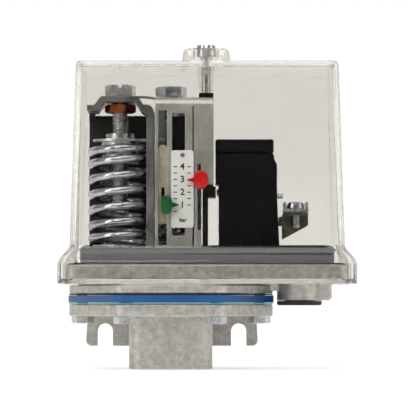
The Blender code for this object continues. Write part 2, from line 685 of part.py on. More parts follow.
# ---------------------------------------------------------------- main spring, its bridge and its screw
bridge_foot = floor_top + SEAT
hat_bottom = bridge_top - BRIDGE_SHEET
bridge_half_y = MAIN_SPRING_RADIUS + BRIDGE_CLEAR
bay_left = MAIN_X - MAIN_SPRING_RADIUS
side_wall_x = MAIN_X + SIDE_WALL_REACH
spring_bottom = beam_top + MAIN_SEAT_HEIGHT
spring_top = spring_bottom + MAIN_SPRING_LENGTH
guide_left = BRACKET_LEFT_X + 0.0012
carrier_front = -BRACKET_HALF_Y + BRACKET_SHEET + RUN


def make_spring_bridge():
    """One bent sheet: a raised bridge over the spring and a side wall with a window for it."""
    outer_right = side_wall_x + SIDE_WALL_SHEET
    shoulder = bridge_top - BRIDGE_DROP
    sheet, bend = BRIDGE_SHEET, 0.0028
    slope, steep, lean = 0.0025, 0.0018, 0.0011
    outline = [
        (bay_left, shoulder), (MAIN_X - BRIDGE_HAT - slope, shoulder), (MAIN_X - BRIDGE_HAT, bridge_top),
        (MAIN_X + BRIDGE_HAT, bridge_top), (MAIN_X + BRIDGE_HAT + steep, shoulder + FIT),
    ]
    outline += arc(outer_right - bend, shoulder - bend + FIT, bend, 90, 0, 4)
    outline += [(outer_right, bridge_foot), (side_wall_x, bridge_foot), (side_wall_x, shoulder - sheet - 0.001)]
    outline += [
        (MAIN_X + BRIDGE_HAT + 0.001, shoulder - sheet), (MAIN_X + BRIDGE_HAT - lean, hat_bottom),
        (MAIN_X - BRIDGE_HAT + lean, hat_bottom), (MAIN_X - BRIDGE_HAT + lean - slope, shoulder - sheet),
        (bay_left, shoulder - sheet),
    ]
    bridge = plate("spring_bridge", SHEET_STEEL, [outline], 2 * bridge_half_y, standing(bridge_half_y))
    window = box("spring_window", None, (side_wall_x - 0.003, -SIDE_WINDOW_HALF_Y, bridge_foot - 0.001),
                 (outer_right + 0.003, SIDE_WINDOW_HALF_Y, floor_top + SIDE_WINDOW_HEIGHT))
    screw_hole = rod("bridge_hole", None, (MAIN_X, 0, hat_bottom - 0.001), (MAIN_X, 0, bridge_top + 0.001),
                     SCREW_RADIUS + FIT, 24)
    cut(bridge, window, screw_hole)


def make_backing_plate():
    """The black plate behind the spring, bent forward at its top to carry the bridge's left shoulder."""
    lip_top = bridge_top - BRIDGE_DROP - BRIDGE_SHEET - SEAT
    sheet = 0.0016
    front = bridge_half_y + RUN + GAP
    back = front + sheet
    lip = box("backing_lip", None, (bay_left + SEAT, front - 0.0045, lip_top - sheet),
              (bay_left + 0.0023, back - SEAT, lip_top))
    backing = box("backing_plate", BLACK_STEEL, (bay_left, front, bridge_foot),
                  (side_wall_x - GAP, back, lip_top - sheet / 4))
    join(backing, lip)


def make_adjusting_screw(name, x, head_bottom, head_height, length, turn, slotted):
    """An M6 hexagon-head setting screw, with a slot across its head where it has one."""
    screw = hexagon_bar(name, ZINC, x, 0, head_bottom, head_bottom + head_height, SCREW_HEAD_FLATS, turn)
    join(screw, rod("screw_shank", None, (x, 0, head_bottom - length), (x, 0, head_bottom + 0.001), SCREW_RADIUS, 24))
    if slotted:
        slot = box("head_slot", None, (-0.010, -0.0007, -0.0012), (0.010, 0.0007, 0.0012))
        slot.location = (x, 0, head_bottom + head_height)
        slot.rotation_euler.z = turn + math.radians(70)
        cut(screw, slot)
    return screw


def make_main_setting():
    """The main spring between its two seats, and the screw that moves the upper one."""
    seat_z = spring_top + GAP
    disc_top = seat_z + CARRIAGE_SHEET
    bore = SCREW_RADIUS + FIT
    hub, hub_top = bore + 0.0020, seat_z + 0.0030
    sleeve, sleeve_bottom = MAIN_SPRING_RADIUS - MAIN_SPRING_WIRE - 0.0019, seat_z - 0.0080
    disc = MAIN_SPRING_RADIUS - 0.0018
    carriage = turned("main_spring_carriage", ZINC, [
        (bore, hub_top), (hub, hub_top), (hub, disc_top), (disc, disc_top), (disc, seat_z), (sleeve, seat_z),
        (sleeve, sleeve_bottom), (bore, sleeve_bottom), (bore, hub_top),
    ], MAIN_X, 0)
    arm_front, arm_back, arm_right = -0.0072, -0.0038, guide_left + 0.0022
    arm = box("carriage_arm", None, (MAIN_X + sleeve, arm_front, seat_z), (arm_right, arm_back, disc_top))
    reach = box("carriage_reach", None, (guide_left - 0.0004, carrier_front + GUIDE_THICKNESS + GAP, seat_z),
                (arm_right, arm_back, disc_top))
    join(carriage, arm, reach)
    guide = make_pointer_guide(disc_top)
    middle = guide_left + GUIDE_WIDTH / 2
    pointer = make_pointer("green_pointer", GREEN_PLASTIC, middle + 0.0013, floor_top + GREEN_POINTER_HEIGHT, 1,
                           0.0040, 0.0070, SCALE_LEFT_X + 0.0027, middle)
    main_spring = coil("main_spring", ZINC, MAIN_X, spring_bottom, spring_top, MAIN_SPRING_RADIUS, MAIN_SPRING_WIRE,
                       MAIN_SPRING_TURNS)
    pivot_empty("main_carriage_axis", MAIN_X, 0, seat_z, carriage, guide, pointer)
    pivot_empty("main_spring_foot", MAIN_X, 0, spring_bottom, main_spring)
    head_bottom = bridge_top + LEAF_SHEET + GAP
    screw = make_adjusting_screw("main_adjusting_screw", MAIN_X, head_bottom, MAIN_HEAD_HEIGHT, MAIN_SCREW_LENGTH,
                                 math.radians(18), True)
    nut_top = hat_bottom - SEAT - GAP
    nut = hexagon_bar("retaining_nut", COPPERED, MAIN_X, 0, nut_top - NUT_HEIGHT, nut_top, SCREW_HEAD_FLATS,
                      math.radians(-9))
    cut(nut, rod("nut_bore", None, (MAIN_X, 0, nut_top - NUT_HEIGHT - 0.001), (MAIN_X, 0, nut_top + 0.001), bore, 24))
    pivot_empty("main_screw_axis", MAIN_X, 0, head_bottom, screw, nut)


def make_pointer_guide(top_z):
    """The moulded bar that hangs from the carriage arm behind the bracket and carries the green pointer."""
    left, right = guide_left, guide_left + GUIDE_WIDTH
    bottom, crown = floor_top + GUIDE_BOTTOM, GUIDE_WIDTH / 2
    outline = [(left, bottom), (right, bottom)] + arc((left + right) / 2, top_z - 0.0024 - crown, crown, 0, 180, 8)
    guide = plate("pointer_guide", CREAM_PLASTIC, [outline], GUIDE_THICKNESS, standing(carrier_front + GUIDE_THICKNESS))
    soften(guide, 0.0004, 1)
    edge = 0.0011
    slot = box("guide_slot", None, (left + edge, -BRACKET_HALF_Y, bottom + 0.0078), (right - edge, 0, bottom + 0.0133))
    cut(guide, slot)
    return guide


def make_pointer(name, look, x, z, way, width, height, tip_x, stem_x):
    """A rounded knob with a pointed tip that lies on the scale, and a stem through the bracket's slot."""
    tip_y = -BRACKET_HALF_Y - SCALE_SHEET - 2 * GAP
    half = width / 2
    knob = plate(name, look, [
        arc(x, z + height / 2 - half, half, 0, 180, 8) + arc(x, z - height / 2 + half, half, 180, 360, 8)
    ], POINTER_THICKNESS, standing(tip_y))
    soften(knob, 0.0005)
    tip = plate(name + "_tip", None, [
        [(x, z - 0.0016), (tip_x, z - 0.0002), (tip_x, z + 0.0002), (x, z + 0.0016)][::way]
    ], POINTER_THICKNESS * 2 / 3, standing(tip_y - FIT))
    stem = rod(name + "_stem", None, (stem_x, tip_y - 0.001, z), (stem_x, carrier_front - SEAT, z), 0.0006, 12)
    join(knob, tip, stem)
    return knob


# ---------------------------------------------------------------- centre: bracket, scale and differential setting
bracket_foot = floor_top + SEAT
leg_notch_z = lever_top + 0.0004


def make_main_bracket():
    """A bent channel over the diaphragm axis, its front pierced by the pointer slots."""
    half, top, sheet, bend = BRACKET_HALF_Y, bracket_top, BRACKET_SHEET, BRACKET_BEND
    outline = [(half, bracket_foot)] + arc(half - bend, top - bend, bend, 0, 90, 5)
    outline += arc(-half + bend, top - bend, bend, 90, 180, 5) + [(-half, bracket_foot)]
    outline += [(-half + sheet, bracket_foot)] + arc(-half + bend, top - bend, bend - sheet, 180, 90, 4)
    outline += arc(half - bend, top - bend, bend - sheet, 90, 0, 4) + [(half - sheet, bracket_foot)]
    width = BRACKET_RIGHT_X - BRACKET_LEFT_X
    place = Matrix.Translation((BRACKET_LEFT_X, 0, 0)) @ SIDEWAYS
    bracket = plate("main_bracket", SHEET_STEEL, [outline], width, place)
    front, inside = -half - 0.001, -half + 0.004
    left = BRACKET_LEFT_X
    tools = [
        box("bracket_slot", None, (left + x0, front, floor_top + z0), (left + x1, inside, floor_top + z1))
        for x0, x1, z0, z1 in BRACKET_SLOTS
    ]
    tools.append(box("leg_notch", None, (PIVOT_X - 0.0014, front, bracket_foot - 0.001),
                     (BRACKET_RIGHT_X + 0.001, half + 0.001, leg_notch_z)))
    tools.append(rod("diff_hole", None, (AXIS_X, 0, top - 0.003), (AXIS_X, 0, top + 0.001), SCREW_RADIUS + FIT, 24))
    tools.append(rod("cover_screw_thread", None, (COVER_SCREW_X, 0, top - 0.003), (COVER_SCREW_X, 0, top + 0.001),
                     COVER_SCREW_RADIUS + FIT, 20))
    cut(bracket, *tools)


def make_scale_plate():
    """The printed scale on the front of the bracket, held by one screw near its top."""
    back = -BRACKET_HALF_Y - SEAT
    low, high = (SCALE_LEFT_X, floor_top + SCALE_BOTTOM), (SCALE_RIGHT_X, floor_top + SCALE_TOP)
    middle_x = (SCALE_LEFT_X + SCALE_RIGHT_X) / 2
    screw_z = high[1] - 0.0016
    plate("scale_plate", SCALE_WHITE, [rounded_rectangle(low, high, 0.0008, 3), circle(middle_x, screw_z, 0.0008, 12)],
          SCALE_SHEET, standing(back))
    rod("scale_screw", ZINC, (middle_x, back - SCALE_SHEET - 0.0006, screw_z), (middle_x, back + SEAT / 2, screw_z),
        0.0007, 12)


def make_differential_setting():
    """The second screw, its spring, and the black slider that carries the red pointer."""
    foot = beam_top + DIFF_SEAT_HEIGHT
    hub_bottom = foot + DIFF_SPRING_LENGTH + GAP
    hub_top = hub_bottom + SLIDER_HEIGHT
    inner, outer, neck = SCREW_RADIUS + FIT, DIFF_SPRING_RADIUS, SCREW_RADIUS + 0.0015
    slider = turned("differential_carriage", BLACK_PLASTIC, [
        (inner, hub_top), (neck, hub_top), (outer, hub_top - 0.002), (outer, hub_bottom), (inner, hub_bottom),
        (inner, hub_top),
    ], AXIS_X, 0)
    pointer_z = floor_top + RED_POINTER_HEIGHT
    tongue_right = SCALE_RIGHT_X - 0.0030
    tongue = box("slider_tongue", None, (SCALE_LEFT_X - FIT, carrier_front, hub_bottom + 0.0005),
                 (tongue_right, carrier_front + 0.0078, floor_top + SLIDER_TONGUE_TOP))
    arm = box("slider_arm", None, (tongue_right - 0.0006, carrier_front, pointer_z - 0.0025),
              (BRACKET_RIGHT_X - 0.0036, carrier_front + 0.0022, pointer_z + 0.0025))
    join(slider, tongue, arm)
    pointer = make_pointer("red_pointer", RED_PLASTIC, BRACKET_RIGHT_X - 0.0045, pointer_z, -1, 0.0050, 0.0067,
                           SCALE_RIGHT_X - 0.0023, BRACKET_RIGHT_X - 0.0052)
    spring = coil("differential_spring", ZINC, AXIS_X, foot, hub_bottom - GAP, DIFF_SPRING_RADIUS,
                  DIFF_SPRING_WIRE, DIFF_SPRING_TURNS, 12, 1)
    pivot_empty("differential_carriage_axis", AXIS_X, 0, hub_bottom, slider, pointer)
    pivot_empty("differential_spring_foot", AXIS_X, 0, foot, spring)
    head_bottom = bracket_top + LEAF_SHEET + 2 * GAP
    screw = make_adjusting_screw("differential_screw", AXIS_X, head_bottom, DIFF_HEAD_HEIGHT, DIFF_SCREW_LENGTH,
                                 math.radians(10), False)
    pivot_empty("differential_screw_axis", AXIS_X, 0, head_bottom, screw)


def make_locking_leaf():
    """The thin leaf under both screw heads that stops them turning by themselves."""
    thick = LEAF_SHEET
    high, low = bridge_top + SEAT, bracket_top + SEAT
    top_line = [
        (MAIN_X - 0.0050, high), (MAIN_X + 0.0070, high), (MAIN_X + 0.0100, high - SEAT), (AXIS_X - 0.0060, low),
        (AXIS_X + 0.0050, low),
    ]
    outline = top_line + [(x, z + thick) for x, z in reversed(top_line)]
    leaf = plate("locking_leaf", SHEET_STEEL, [outline], 0.0090, standing(0.0045))
    holes = [
        rod("leaf_hole", None, (x, 0, low - 0.003), (x, 0, high + 0.003), SCREW_RADIUS + FIT, 20)
        for x in (MAIN_X, AXIS_X)
    ]
    cut(leaf, *holes)


# ---------------------------------------------------------------- rocker and snap switch
def make_rocker():
    """The black lever: a beam under both springs, an upright arm, and the pin it turns on."""
    half = BEAM_THICKNESS / 2
    left, arm_left, arm_right = MAIN_X - 0.0083, PIVOT_X - 0.0010, PIVOT_X + 0.0010
    head_right, head_bottom = SWITCH_LEFT_X - 0.0011, lever_top - LEVER_HEAD
    hub = PIVOT_RADIUS + 0.0015
    outline = [(left, pivot_z - half), (PIVOT_X - 0.73 * hub, pivot_z - half)]
    outline += arc(PIVOT_X, pivot_z, hub, 225, 405, 8)
    outline += [
        (arm_right, pivot_z + hub + 0.001), (arm_right, head_bottom), (head_right, head_bottom),
        (head_right, lever_top), (arm_left, lever_top), (arm_left, beam_top + 0.0015),
        (arm_left - 0.0015, beam_top), (left, beam_top),
    ]
    rocker = plate("rocker", BLACK_STEEL, [outline, circle(PIVOT_X, pivot_z, PIVOT_RADIUS + FIT, 20)],
                   2 * ROCKER_HALF_Y, standing(ROCKER_HALF_Y))
    pin_half = ROCKER_HALF_Y + RUN + PIVOT_EAR - SEAT
    rod("pivot_pin", ZINC, (PIVOT_X, -pin_half, pivot_z), (PIVOT_X, pin_half, pivot_z), PIVOT_RADIUS, 20)
    top = beam_top + GAP
    rim, disc = spring_bottom - GAP, MAIN_SPRING_RADIUS - 0.0018
    boss = MAIN_SPRING_RADIUS - MAIN_SPRING_WIRE - 0.0017
    seat = turned("lower_spring_seat", ZINC, [
        (0, rim + 0.002), (boss - 0.001, rim + 0.002), (boss, rim + 0.001), (boss, rim), (disc, rim),
        (disc, rim - 0.0010), (0.0045, rim - 0.0010), (0.0045, top), (0, top),
    ], MAIN_X, 0)
    rim, disc = beam_top + DIFF_SEAT_HEIGHT - GAP, DIFF_SPRING_RADIUS - FIT
    boss = DIFF_SPRING_RADIUS - DIFF_SPRING_WIRE - FIT
    small_seat = turned("differential_spring_seat", ZINC, [
        (0, rim + 0.0018), (boss - 0.0004, rim + 0.0018), (boss, rim + 0.0013), (boss, rim), (disc, rim),
        (disc, top), (0, top),
    ], AXIS_X, 0, 32)
    pivot_empty("rocker_axis", PIVOT_X, 0, pivot_z, rocker, seat, small_seat)


switch_bottom = floor_top + SEAT
switch_top = floor_top + SWITCH_HEIGHT
cavity_left, cavity_right = SWITCH_LEFT_X + 0.0040, SWITCH_RIGHT_X - 0.0055
cavity_bottom = floor_top + CHAMBER_FLOOR
lid_bottom = switch_top - LID_THICKNESS
plunger_z = lever_top - LEVER_HEAD / 2
blade_x = (cavity_left + cavity_right) / 2


def make_switch_housing():
    """The black moulded switch body with its contact chamber, and the lid that closes it."""
    left, right, over = SWITCH_LEFT_X, SWITCH_RIGHT_X, SWITCH_LEFT_X - SWITCH_OVERHANG
    draft, corner, step_z = 0.0009, 0.0017, leg_notch_z + RUN
    outline = [
        (left, switch_bottom), (right, switch_bottom), (right, floor_top + 0.0084), (right - draft, plunger_z - 0.002),
    ]
    outline += arc(right - draft - corner, lid_bottom - 0.0044, corner, 0, 60, 4)
    outline += [(right - 0.0021, lid_bottom - GAP), (over, lid_bottom - GAP), (over, step_z), (left, step_z)]
    housing = plate("switch_housing", BLACK_PLASTIC, [outline], 2 * SWITCH_HALF_Y, standing(SWITCH_HALF_Y))
    soften(housing, 0.0004, 1)
    foot = box("housing_foot", None, (left + 0.0078, -SWITCH_HALF_Y - 0.0018, switch_bottom),
               (left + 0.0153, -SWITCH_HALF_Y + 0.001, floor_top + 0.0154))
    join(housing, foot)
    chamber_half_y = SWITCH_HALF_Y - 0.0040
    chamber = box("contact_chamber", None, (cavity_left, -chamber_half_y, cavity_bottom),
                  (cavity_right, chamber_half_y, lid_bottom + 0.001))
    bore = rod("plunger_bore", None, (left - 0.001, 0, plunger_z), (cavity_left + 0.001, 0, plunger_z),
               SWITCH_PLUNGER_RADIUS + FIT, 16)
    cut(housing, chamber, bore)
    lid = box("switch_lid", BLACK_PLASTIC, (over, -SWITCH_HALF_Y, lid_bottom),
              (right - 0.0021, SWITCH_HALF_Y, switch_top))
    soften(lid, 0.0005, 1)
    pin_x, pin_y, pin_z = right - draft + SEAT, 0.0040 - SWITCH_HALF_Y, plunger_z - 0.0016
    rod("switch_pin", ZINC, (pin_x, pin_y, pin_z), (pin_x + 0.0021, pin_y, pin_z), 0.0009, 16)


def make_contacts():
    """The plunger, the moving blade and the two fixed contacts in the switch."""
    tip = SWITCH_LEFT_X - 0.0008
    half = BLADE_SHEET / 2
    plunger = rod("switch_plunger", BRASS, (tip, 0, plunger_z), (blade_x - half - GAP, 0, plunger_z),
                  SWITCH_PLUNGER_RADIUS, 16)
    soften(plunger, 0.0003, 1)
    pivot_empty("switch_plunger_axis", tip, 0, plunger_z, plunger)
    foot_z = cavity_bottom + 0.0004
    contact_z = plunger_z + 0.0070
    blade = box("contact_blade", BRASS, (blade_x - half, -0.0040, foot_z),
                (blade_x + half, 0.0040, contact_z + 0.0025))
    button = rod("blade_button", None, (blade_x - CONTACT_BUTTON, 0, contact_z),
                 (blade_x + CONTACT_BUTTON, 0, contact_z), 0.0016, 16)
    join(blade, button)
    pivot_empty("contact_blade_axis", blade_x, 0, foot_z, blade)
    for name, side, gap in (("contact_closed", -1, GAP), ("contact_open", 1, CONTACT_THROW)):
        near = blade_x + side * (CONTACT_BUTTON + gap)
        far = near + side * CONTACT_SHEET
        contact = box(name, BRASS, (min(near, far), -0.0030, foot_z), (max(near, far), 0.0030, contact_z + 0.0030))
        cut(contact, rod("plunger_way", None, (near - 0.003, 0, plunger_z), (near + 0.003, 0, plunger_z),
                         SWITCH_PLUNGER_RADIUS + RUN, 16))


def make_terminals():
    """Three screw terminals in a row at the side of the switch."""
    sheet, half, bore = TERMINAL_SHEET, TERMINAL_HALF_Y, TERMINAL_SCREW_RADIUS + FIT
    shelf = floor_top + TERMINAL_HEIGHT - SEAT
    x = SWITCH_RIGHT_X + TERMINAL_REACH
    left, right = SWITCH_RIGHT_X + 0.0014, x + 0.0046
    for index in range(3):
        y = (index - 1) * TERMINAL_PITCH
        back = y + half
        outline = [(left, shelf - 0.0093), (right, shelf - 0.0043), (right, shelf - SEAT), (left, shelf - SEAT)]
        bracket = plate(f"terminal_bracket_{index + 1}", TERMINAL_METAL, [outline], sheet, standing(back))
        top = box("terminal_shelf", None, (left + SEAT, y - half, shelf - sheet),
                  (right - SEAT, back - sheet / 2, shelf))
        tongue = box("terminal_tongue", None, (SWITCH_RIGHT_X + SEAT, back - sheet + SEAT, shelf - 0.0043),
                     (left + 0.001, back - SEAT, shelf - 0.0013))
        join(bracket, top, tongue)
        cut(bracket, rod("terminal_hole", None, (x, y, shelf - 0.002), (x, y, shelf + 0.001), bore, 16))
        clamp_bottom = shelf + 0.0004
        clamp = box(f"terminal_clamp_{index + 1}", ZINC, (left + FIT, y - half, clamp_bottom),
                    (right, y + half, clamp_bottom + sheet))
        ears = [
            box("clamp_ear", None, (ear_x, y - 0.0012, clamp_bottom + SEAT),
                (ear_x + 0.0007, y + 0.0012, clamp_bottom + 0.0036))
            for ear_x in (left + GAP, right - 0.0008)
        ]
        join(clamp, *ears)
        cut(clamp, rod("clamp_hole", None, (x, y, clamp_bottom - 0.001), (x, y, clamp_bottom + 0.002), bore, 16))
        make_terminal_screw(index + 1, x, y, clamp_bottom + sheet + SEAT)


def make_terminal_screw(number, x, y, head_bottom):
    """A slotted pan-head screw that draws its clamp down onto the wire."""
    radius, head, head_top, length = TERMINAL_SCREW_RADIUS, 0.0031, head_bottom + 0.0026, 0.0070
    screw = turned(f"terminal_screw_{number}", ZINC, [
        (0, head_top), (head - 0.0011, head_top), (head - 0.0003, head_top - 0.0005), (head, head_top - 0.0014),
        (head, head_bottom), (radius, head_bottom), (radius, head_bottom - length), (0, head_bottom - length),
    ], x, y, 16)
    cut(screw, box("terminal_slot", None, (x - 0.01, y - 0.0004, head_top - 0.0012),
                   (x + 0.01, y + 0.0004, head_top + 0.001)))


make_port_flange()
make_diaphragm_stack()
make_flange_bolts()
make_base_casting()
make_entry_plug()
make_cover()
make_spring_bridge()
make_backing_plate()
make_main_setting()
make_main_bracket()
make_scale_plate()
make_differential_setting()
make_locking_leaf()
make_rocker()
make_switch_housing()
make_contacts()
make_terminals()
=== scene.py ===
"""The looks of a diaphragm pressure switch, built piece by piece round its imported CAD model.
Metres, +Z up, the front with the scale faces -Y."""

import json
import math

import bmesh
import bpy
from mathutils import Matrix, Vector

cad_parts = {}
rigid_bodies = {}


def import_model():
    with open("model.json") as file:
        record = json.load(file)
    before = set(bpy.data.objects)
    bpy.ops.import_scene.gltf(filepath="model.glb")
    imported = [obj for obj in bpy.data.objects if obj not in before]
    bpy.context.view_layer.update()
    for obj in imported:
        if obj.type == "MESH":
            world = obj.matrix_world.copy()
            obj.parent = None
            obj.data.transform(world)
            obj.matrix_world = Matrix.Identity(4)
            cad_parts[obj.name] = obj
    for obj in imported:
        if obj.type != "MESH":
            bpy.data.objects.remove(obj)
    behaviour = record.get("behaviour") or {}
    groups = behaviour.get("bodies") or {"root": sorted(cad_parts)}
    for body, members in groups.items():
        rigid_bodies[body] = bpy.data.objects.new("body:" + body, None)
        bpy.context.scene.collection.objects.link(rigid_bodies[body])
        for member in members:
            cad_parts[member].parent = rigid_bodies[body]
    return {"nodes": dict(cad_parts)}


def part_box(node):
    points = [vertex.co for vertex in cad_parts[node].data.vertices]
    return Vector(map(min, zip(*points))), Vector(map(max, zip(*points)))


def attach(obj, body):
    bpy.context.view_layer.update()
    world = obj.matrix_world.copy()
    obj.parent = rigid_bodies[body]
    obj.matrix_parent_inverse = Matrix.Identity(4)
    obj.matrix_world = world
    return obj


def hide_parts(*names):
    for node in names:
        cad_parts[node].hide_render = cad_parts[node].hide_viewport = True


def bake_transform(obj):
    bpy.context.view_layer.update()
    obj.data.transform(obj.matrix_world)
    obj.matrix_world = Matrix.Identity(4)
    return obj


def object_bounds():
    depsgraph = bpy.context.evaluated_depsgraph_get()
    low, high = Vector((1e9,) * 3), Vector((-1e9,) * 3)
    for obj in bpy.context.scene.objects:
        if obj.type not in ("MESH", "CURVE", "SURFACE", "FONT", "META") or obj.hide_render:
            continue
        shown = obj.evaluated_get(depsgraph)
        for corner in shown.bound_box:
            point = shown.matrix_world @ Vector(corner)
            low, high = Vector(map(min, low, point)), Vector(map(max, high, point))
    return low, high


for leftover in list(bpy.data.objects):
    bpy.data.objects.remove(leftover)
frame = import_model()
cad_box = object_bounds()
nodes = frame["nodes"]


# ------------------------------------------------------------------ studio
# A pale sweep stands for the table: a floor that curves up into a backdrop. Softboxes hang over
# and beside the switch, and the room behind them is darker, so that clear plastic has its edges.
def vertices_of(geometry):
    """The vertices among some mesh elements."""
    return [element for element in geometry if isinstance(element, bmesh.types.BMVert)]


floor_z = cad_box[0].z
sweep_half, sweep_front, sweep_back, sweep_bend, sweep_top = 2.4, -2.2, 1.0, 0.6, 2.0
sweep_gap = 0.0003
bm = bmesh.new()
ends = [bm.verts.new((-sweep_half, y, floor_z - sweep_gap)) for y in (sweep_front, sweep_back)]
bm.edges.new(ends)
curve = bmesh.ops.spin(bm, geom=[ends[1]], axis=(1, 0, 0), cent=(0, sweep_back, floor_z + sweep_bend),
                       angle=math.radians(90), steps=16)
top = bm.verts.new((-sweep_half, sweep_back + sweep_bend, sweep_top))
bm.edges.new((vertices_of(curve["geom_last"])[0], top))
wide = bmesh.ops.extrude_edge_only(bm, edges=bm.edges[:])
bmesh.ops.translate(bm, vec=(2 * sweep_half, 0, 0), verts=vertices_of(wide["geom"]))
sweep_mesh = bpy.data.meshes.new("sweep")
bm.to_mesh(sweep_mesh)
bm.free()
sweep_mesh.shade_smooth()
sweep = bpy.data.objects.new("sweep", sweep_mesh)
bpy.context.scene.collection.objects.link(sweep)
paper = bpy.data.materials.new("sweep_paper")
paper.use_nodes = True
paper_shader = paper.node_tree.nodes["Principled BSDF"]
paper_shader.inputs["Base Color"].default_value = (0.86, 0.86, 0.85, 1)
paper_shader.inputs["Roughness"].default_value = 0.9
paper_shader.inputs["Emission Color"].default_value = (1, 1, 1, 1)
paper_shader.inputs["Emission Strength"].default_value = 0.45
sweep_mesh.materials.append(paper)


def add(tree, kind, links=(), **settings):
    """A node with its properties, plain socket values and links set."""
    node = tree.nodes.new(kind)
    for key, value in settings.items():
        if hasattr(node, key):
            setattr(node, key, value)
        else:
            node.inputs[key.replace("_", " ")].default_value = value
    for socket, source in links:
        tree.links.new(source, node.inputs[socket])
    return node


# The room is white above, warmer to the sides, and unlit in front, where a clear cover would mirror it.
world = bpy.data.worlds.new("studio_room")
world.use_nodes = True
room = world.node_tree
split = add(room, "ShaderNodeSeparateXYZ", [(0, add(room, "ShaderNodeTexCoord").outputs["Generated"])])
dim = add(room, "ShaderNodeMapRange", [("Value", split.outputs["Y"])], interpolation_type="SMOOTHSTEP",
          From_Min=-0.985, From_Max=-0.80, To_Min=0.015, To_Max=0.55)
aside = add(room, "ShaderNodeMath", [(0, split.outputs["X"])], operation="ABSOLUTE")
warm = add(room, "ShaderNodeMix", [(0, aside.outputs[0])], data_type="RGBA")
warm.inputs[6].default_value, warm.inputs[7].default_value = (1.0, 0.99, 0.98, 1), (0.90, 0.79, 0.66, 1)
room.links.new(dim.outputs[0], room.nodes["Background"].inputs["Strength"])
room.links.new(warm.outputs[2], room.nodes["Background"].inputs["Color"])
bpy.context.scene.world = world
bpy.context.scene.view_settings.view_transform = "Standard"
# Light runs a long way inside the edges of a clear moulding before it comes out.
tracer = bpy.context.scene.cycles
tracer.max_bounces = tracer.transmission_bounces = 40
tracer.glossy_bounces = 24


def softbox(name, place, aim, width, height, watts):
    """An area light that faces a point."""
    lamp = bpy.data.lights.new(name, "AREA")
    lamp.shape = "RECTANGLE"
    lamp.size, lamp.size_y, lamp.energy = width, height, watts
    obj = bpy.data.objects.new(name, lamp)
    obj.location = place
    obj.rotation_euler = (Vector(aim) - Vector(place)).to_track_quat("-Z", "Y").to_euler()
    bpy.context.scene.collection.objects.link(obj)


middle = (0, 0, 0.06)
softbox("overhead_softbox", (-0.10, -0.35, 0.95), middle, 0.9, 0.6, 2.6)
softbox("left_softbox", (-0.75, -0.60, 0.45), middle, 0.20, 0.8, 2.4)
softbox("right_softbox", (0.85, -0.40, 0.35), middle, 0.20, 0.8, 1.5)
softbox("front_softbox", (-0.25, -1.10, 0.95), middle, 0.5, 0.3, 2.4)

camera = bpy.data.objects.new("camera", bpy.data.cameras.new("camera"))
camera.location = (0, -1.133, 0.0248)
camera.rotation_euler = (Vector((0.0001, 0, 0.0586)) - camera.location).to_track_quat("-Z", "Y").to_euler()
camera.data.sensor_width = 36
camera.data.lens = 269.3
bpy.context.scene.collection.objects.link(camera)
bpy.context.scene.camera = camera


# ------------------------------------------------------------------ castings
# The port flange and the base are pressure die castings in aluminium: grainy skin, duller in
# the corners, a little brighter along edges that were handled. Painted shade darkens the tray inside.
def node_group(name, inputs, outputs):
    """An empty shader group with float, colour and vector sockets."""
    group = bpy.data.node_groups.new(name, "ShaderNodeTree")
    kinds = {"f": "NodeSocketFloat", "c": "NodeSocketColor", "v": "NodeSocketVector"}
    for socket, kind in inputs:
        group.interface.new_socket(socket, in_out="INPUT", socket_type=kinds[kind])
    for socket, kind in outputs:
        group.interface.new_socket(socket, in_out="OUTPUT", socket_type=kinds[kind])
    return group, group.nodes.new("NodeGroupInput"), group.nodes.new("NodeGroupOutput")


skin, given, result = node_group(
    "surface_skin",
    [("Light", "c"), ("Dark", "c"), ("Patches", "f"), ("Grain", "f"), ("Stretch", "v"), ("Smooth", "f"),
     ("Rough", "f")],
    [("Colour", "c"), ("Roughness", "f"), ("Height", "f")],
)
place = add(skin, "ShaderNodeTexCoord").outputs["Object"]
along = add(skin, "ShaderNodeVectorMath", [(0, place), (1, given.outputs["Stretch"])], operation="MULTIPLY")
patches = add(skin, "ShaderNodeTexNoise", [("Vector", place), ("Scale", given.outputs["Patches"])],
              Detail=3.0)
grain = add(skin, "ShaderNodeTexNoise", [("Vector", along.outputs[0]), ("Scale", given.outputs["Grain"])],
            Detail=4.0, Roughness=0.65)
both = add(skin, "ShaderNodeMath", [(0, patches.outputs[0]), (1, grain.outputs[0])], operation="ADD")
spread = add(skin, "ShaderNodeMapRange", [("Value", both.outputs[0])], From_Min=0.78, From_Max=1.22)
tone = add(skin, "ShaderNodeMix", [(0, spread.outputs[0]), (6, given.outputs["Dark"]),
                                   (7, given.outputs["Light"])], data_type="RGBA")
gloss = add(skin, "ShaderNodeMapRange", [("Value", patches.outputs[0]), ("To Min", given.outputs["Smooth"]),
                                         ("To Max", given.outputs["Rough"])], From_Min=0.32, From_Max=0.68)
skin.links.new(tone.outputs[2], result.inputs["Colour"])
skin.links.new(gloss.outputs[0], result.inputs["Roughness"])
skin.links.new(grain.outputs[0], result.inputs["Height"])

edges, given, result = node_group("rubbed_edges", [("Radius", "f")], [("Edge", "f"), ("Normal", "v")])
rounded = add(edges, "ShaderNodeBevel", [("Radius", given.outputs["Radius"])], samples=4)
facing = add(edges, "ShaderNodeNewGeometry").outputs["Normal"]
turn = add(edges, "ShaderNodeVectorMath", [(0, rounded.outputs[0]), (1, facing)], operation="DOT_PRODUCT")
rub = add(edges, "ShaderNodeMapRange", [("Value", turn.outputs["Value"])], From_Min=0.995, From_Max=0.80)
edges.links.new(rub.outputs[0], result.inputs["Edge"])
edges.links.new(rounded.outputs[0], result.inputs["Normal"])


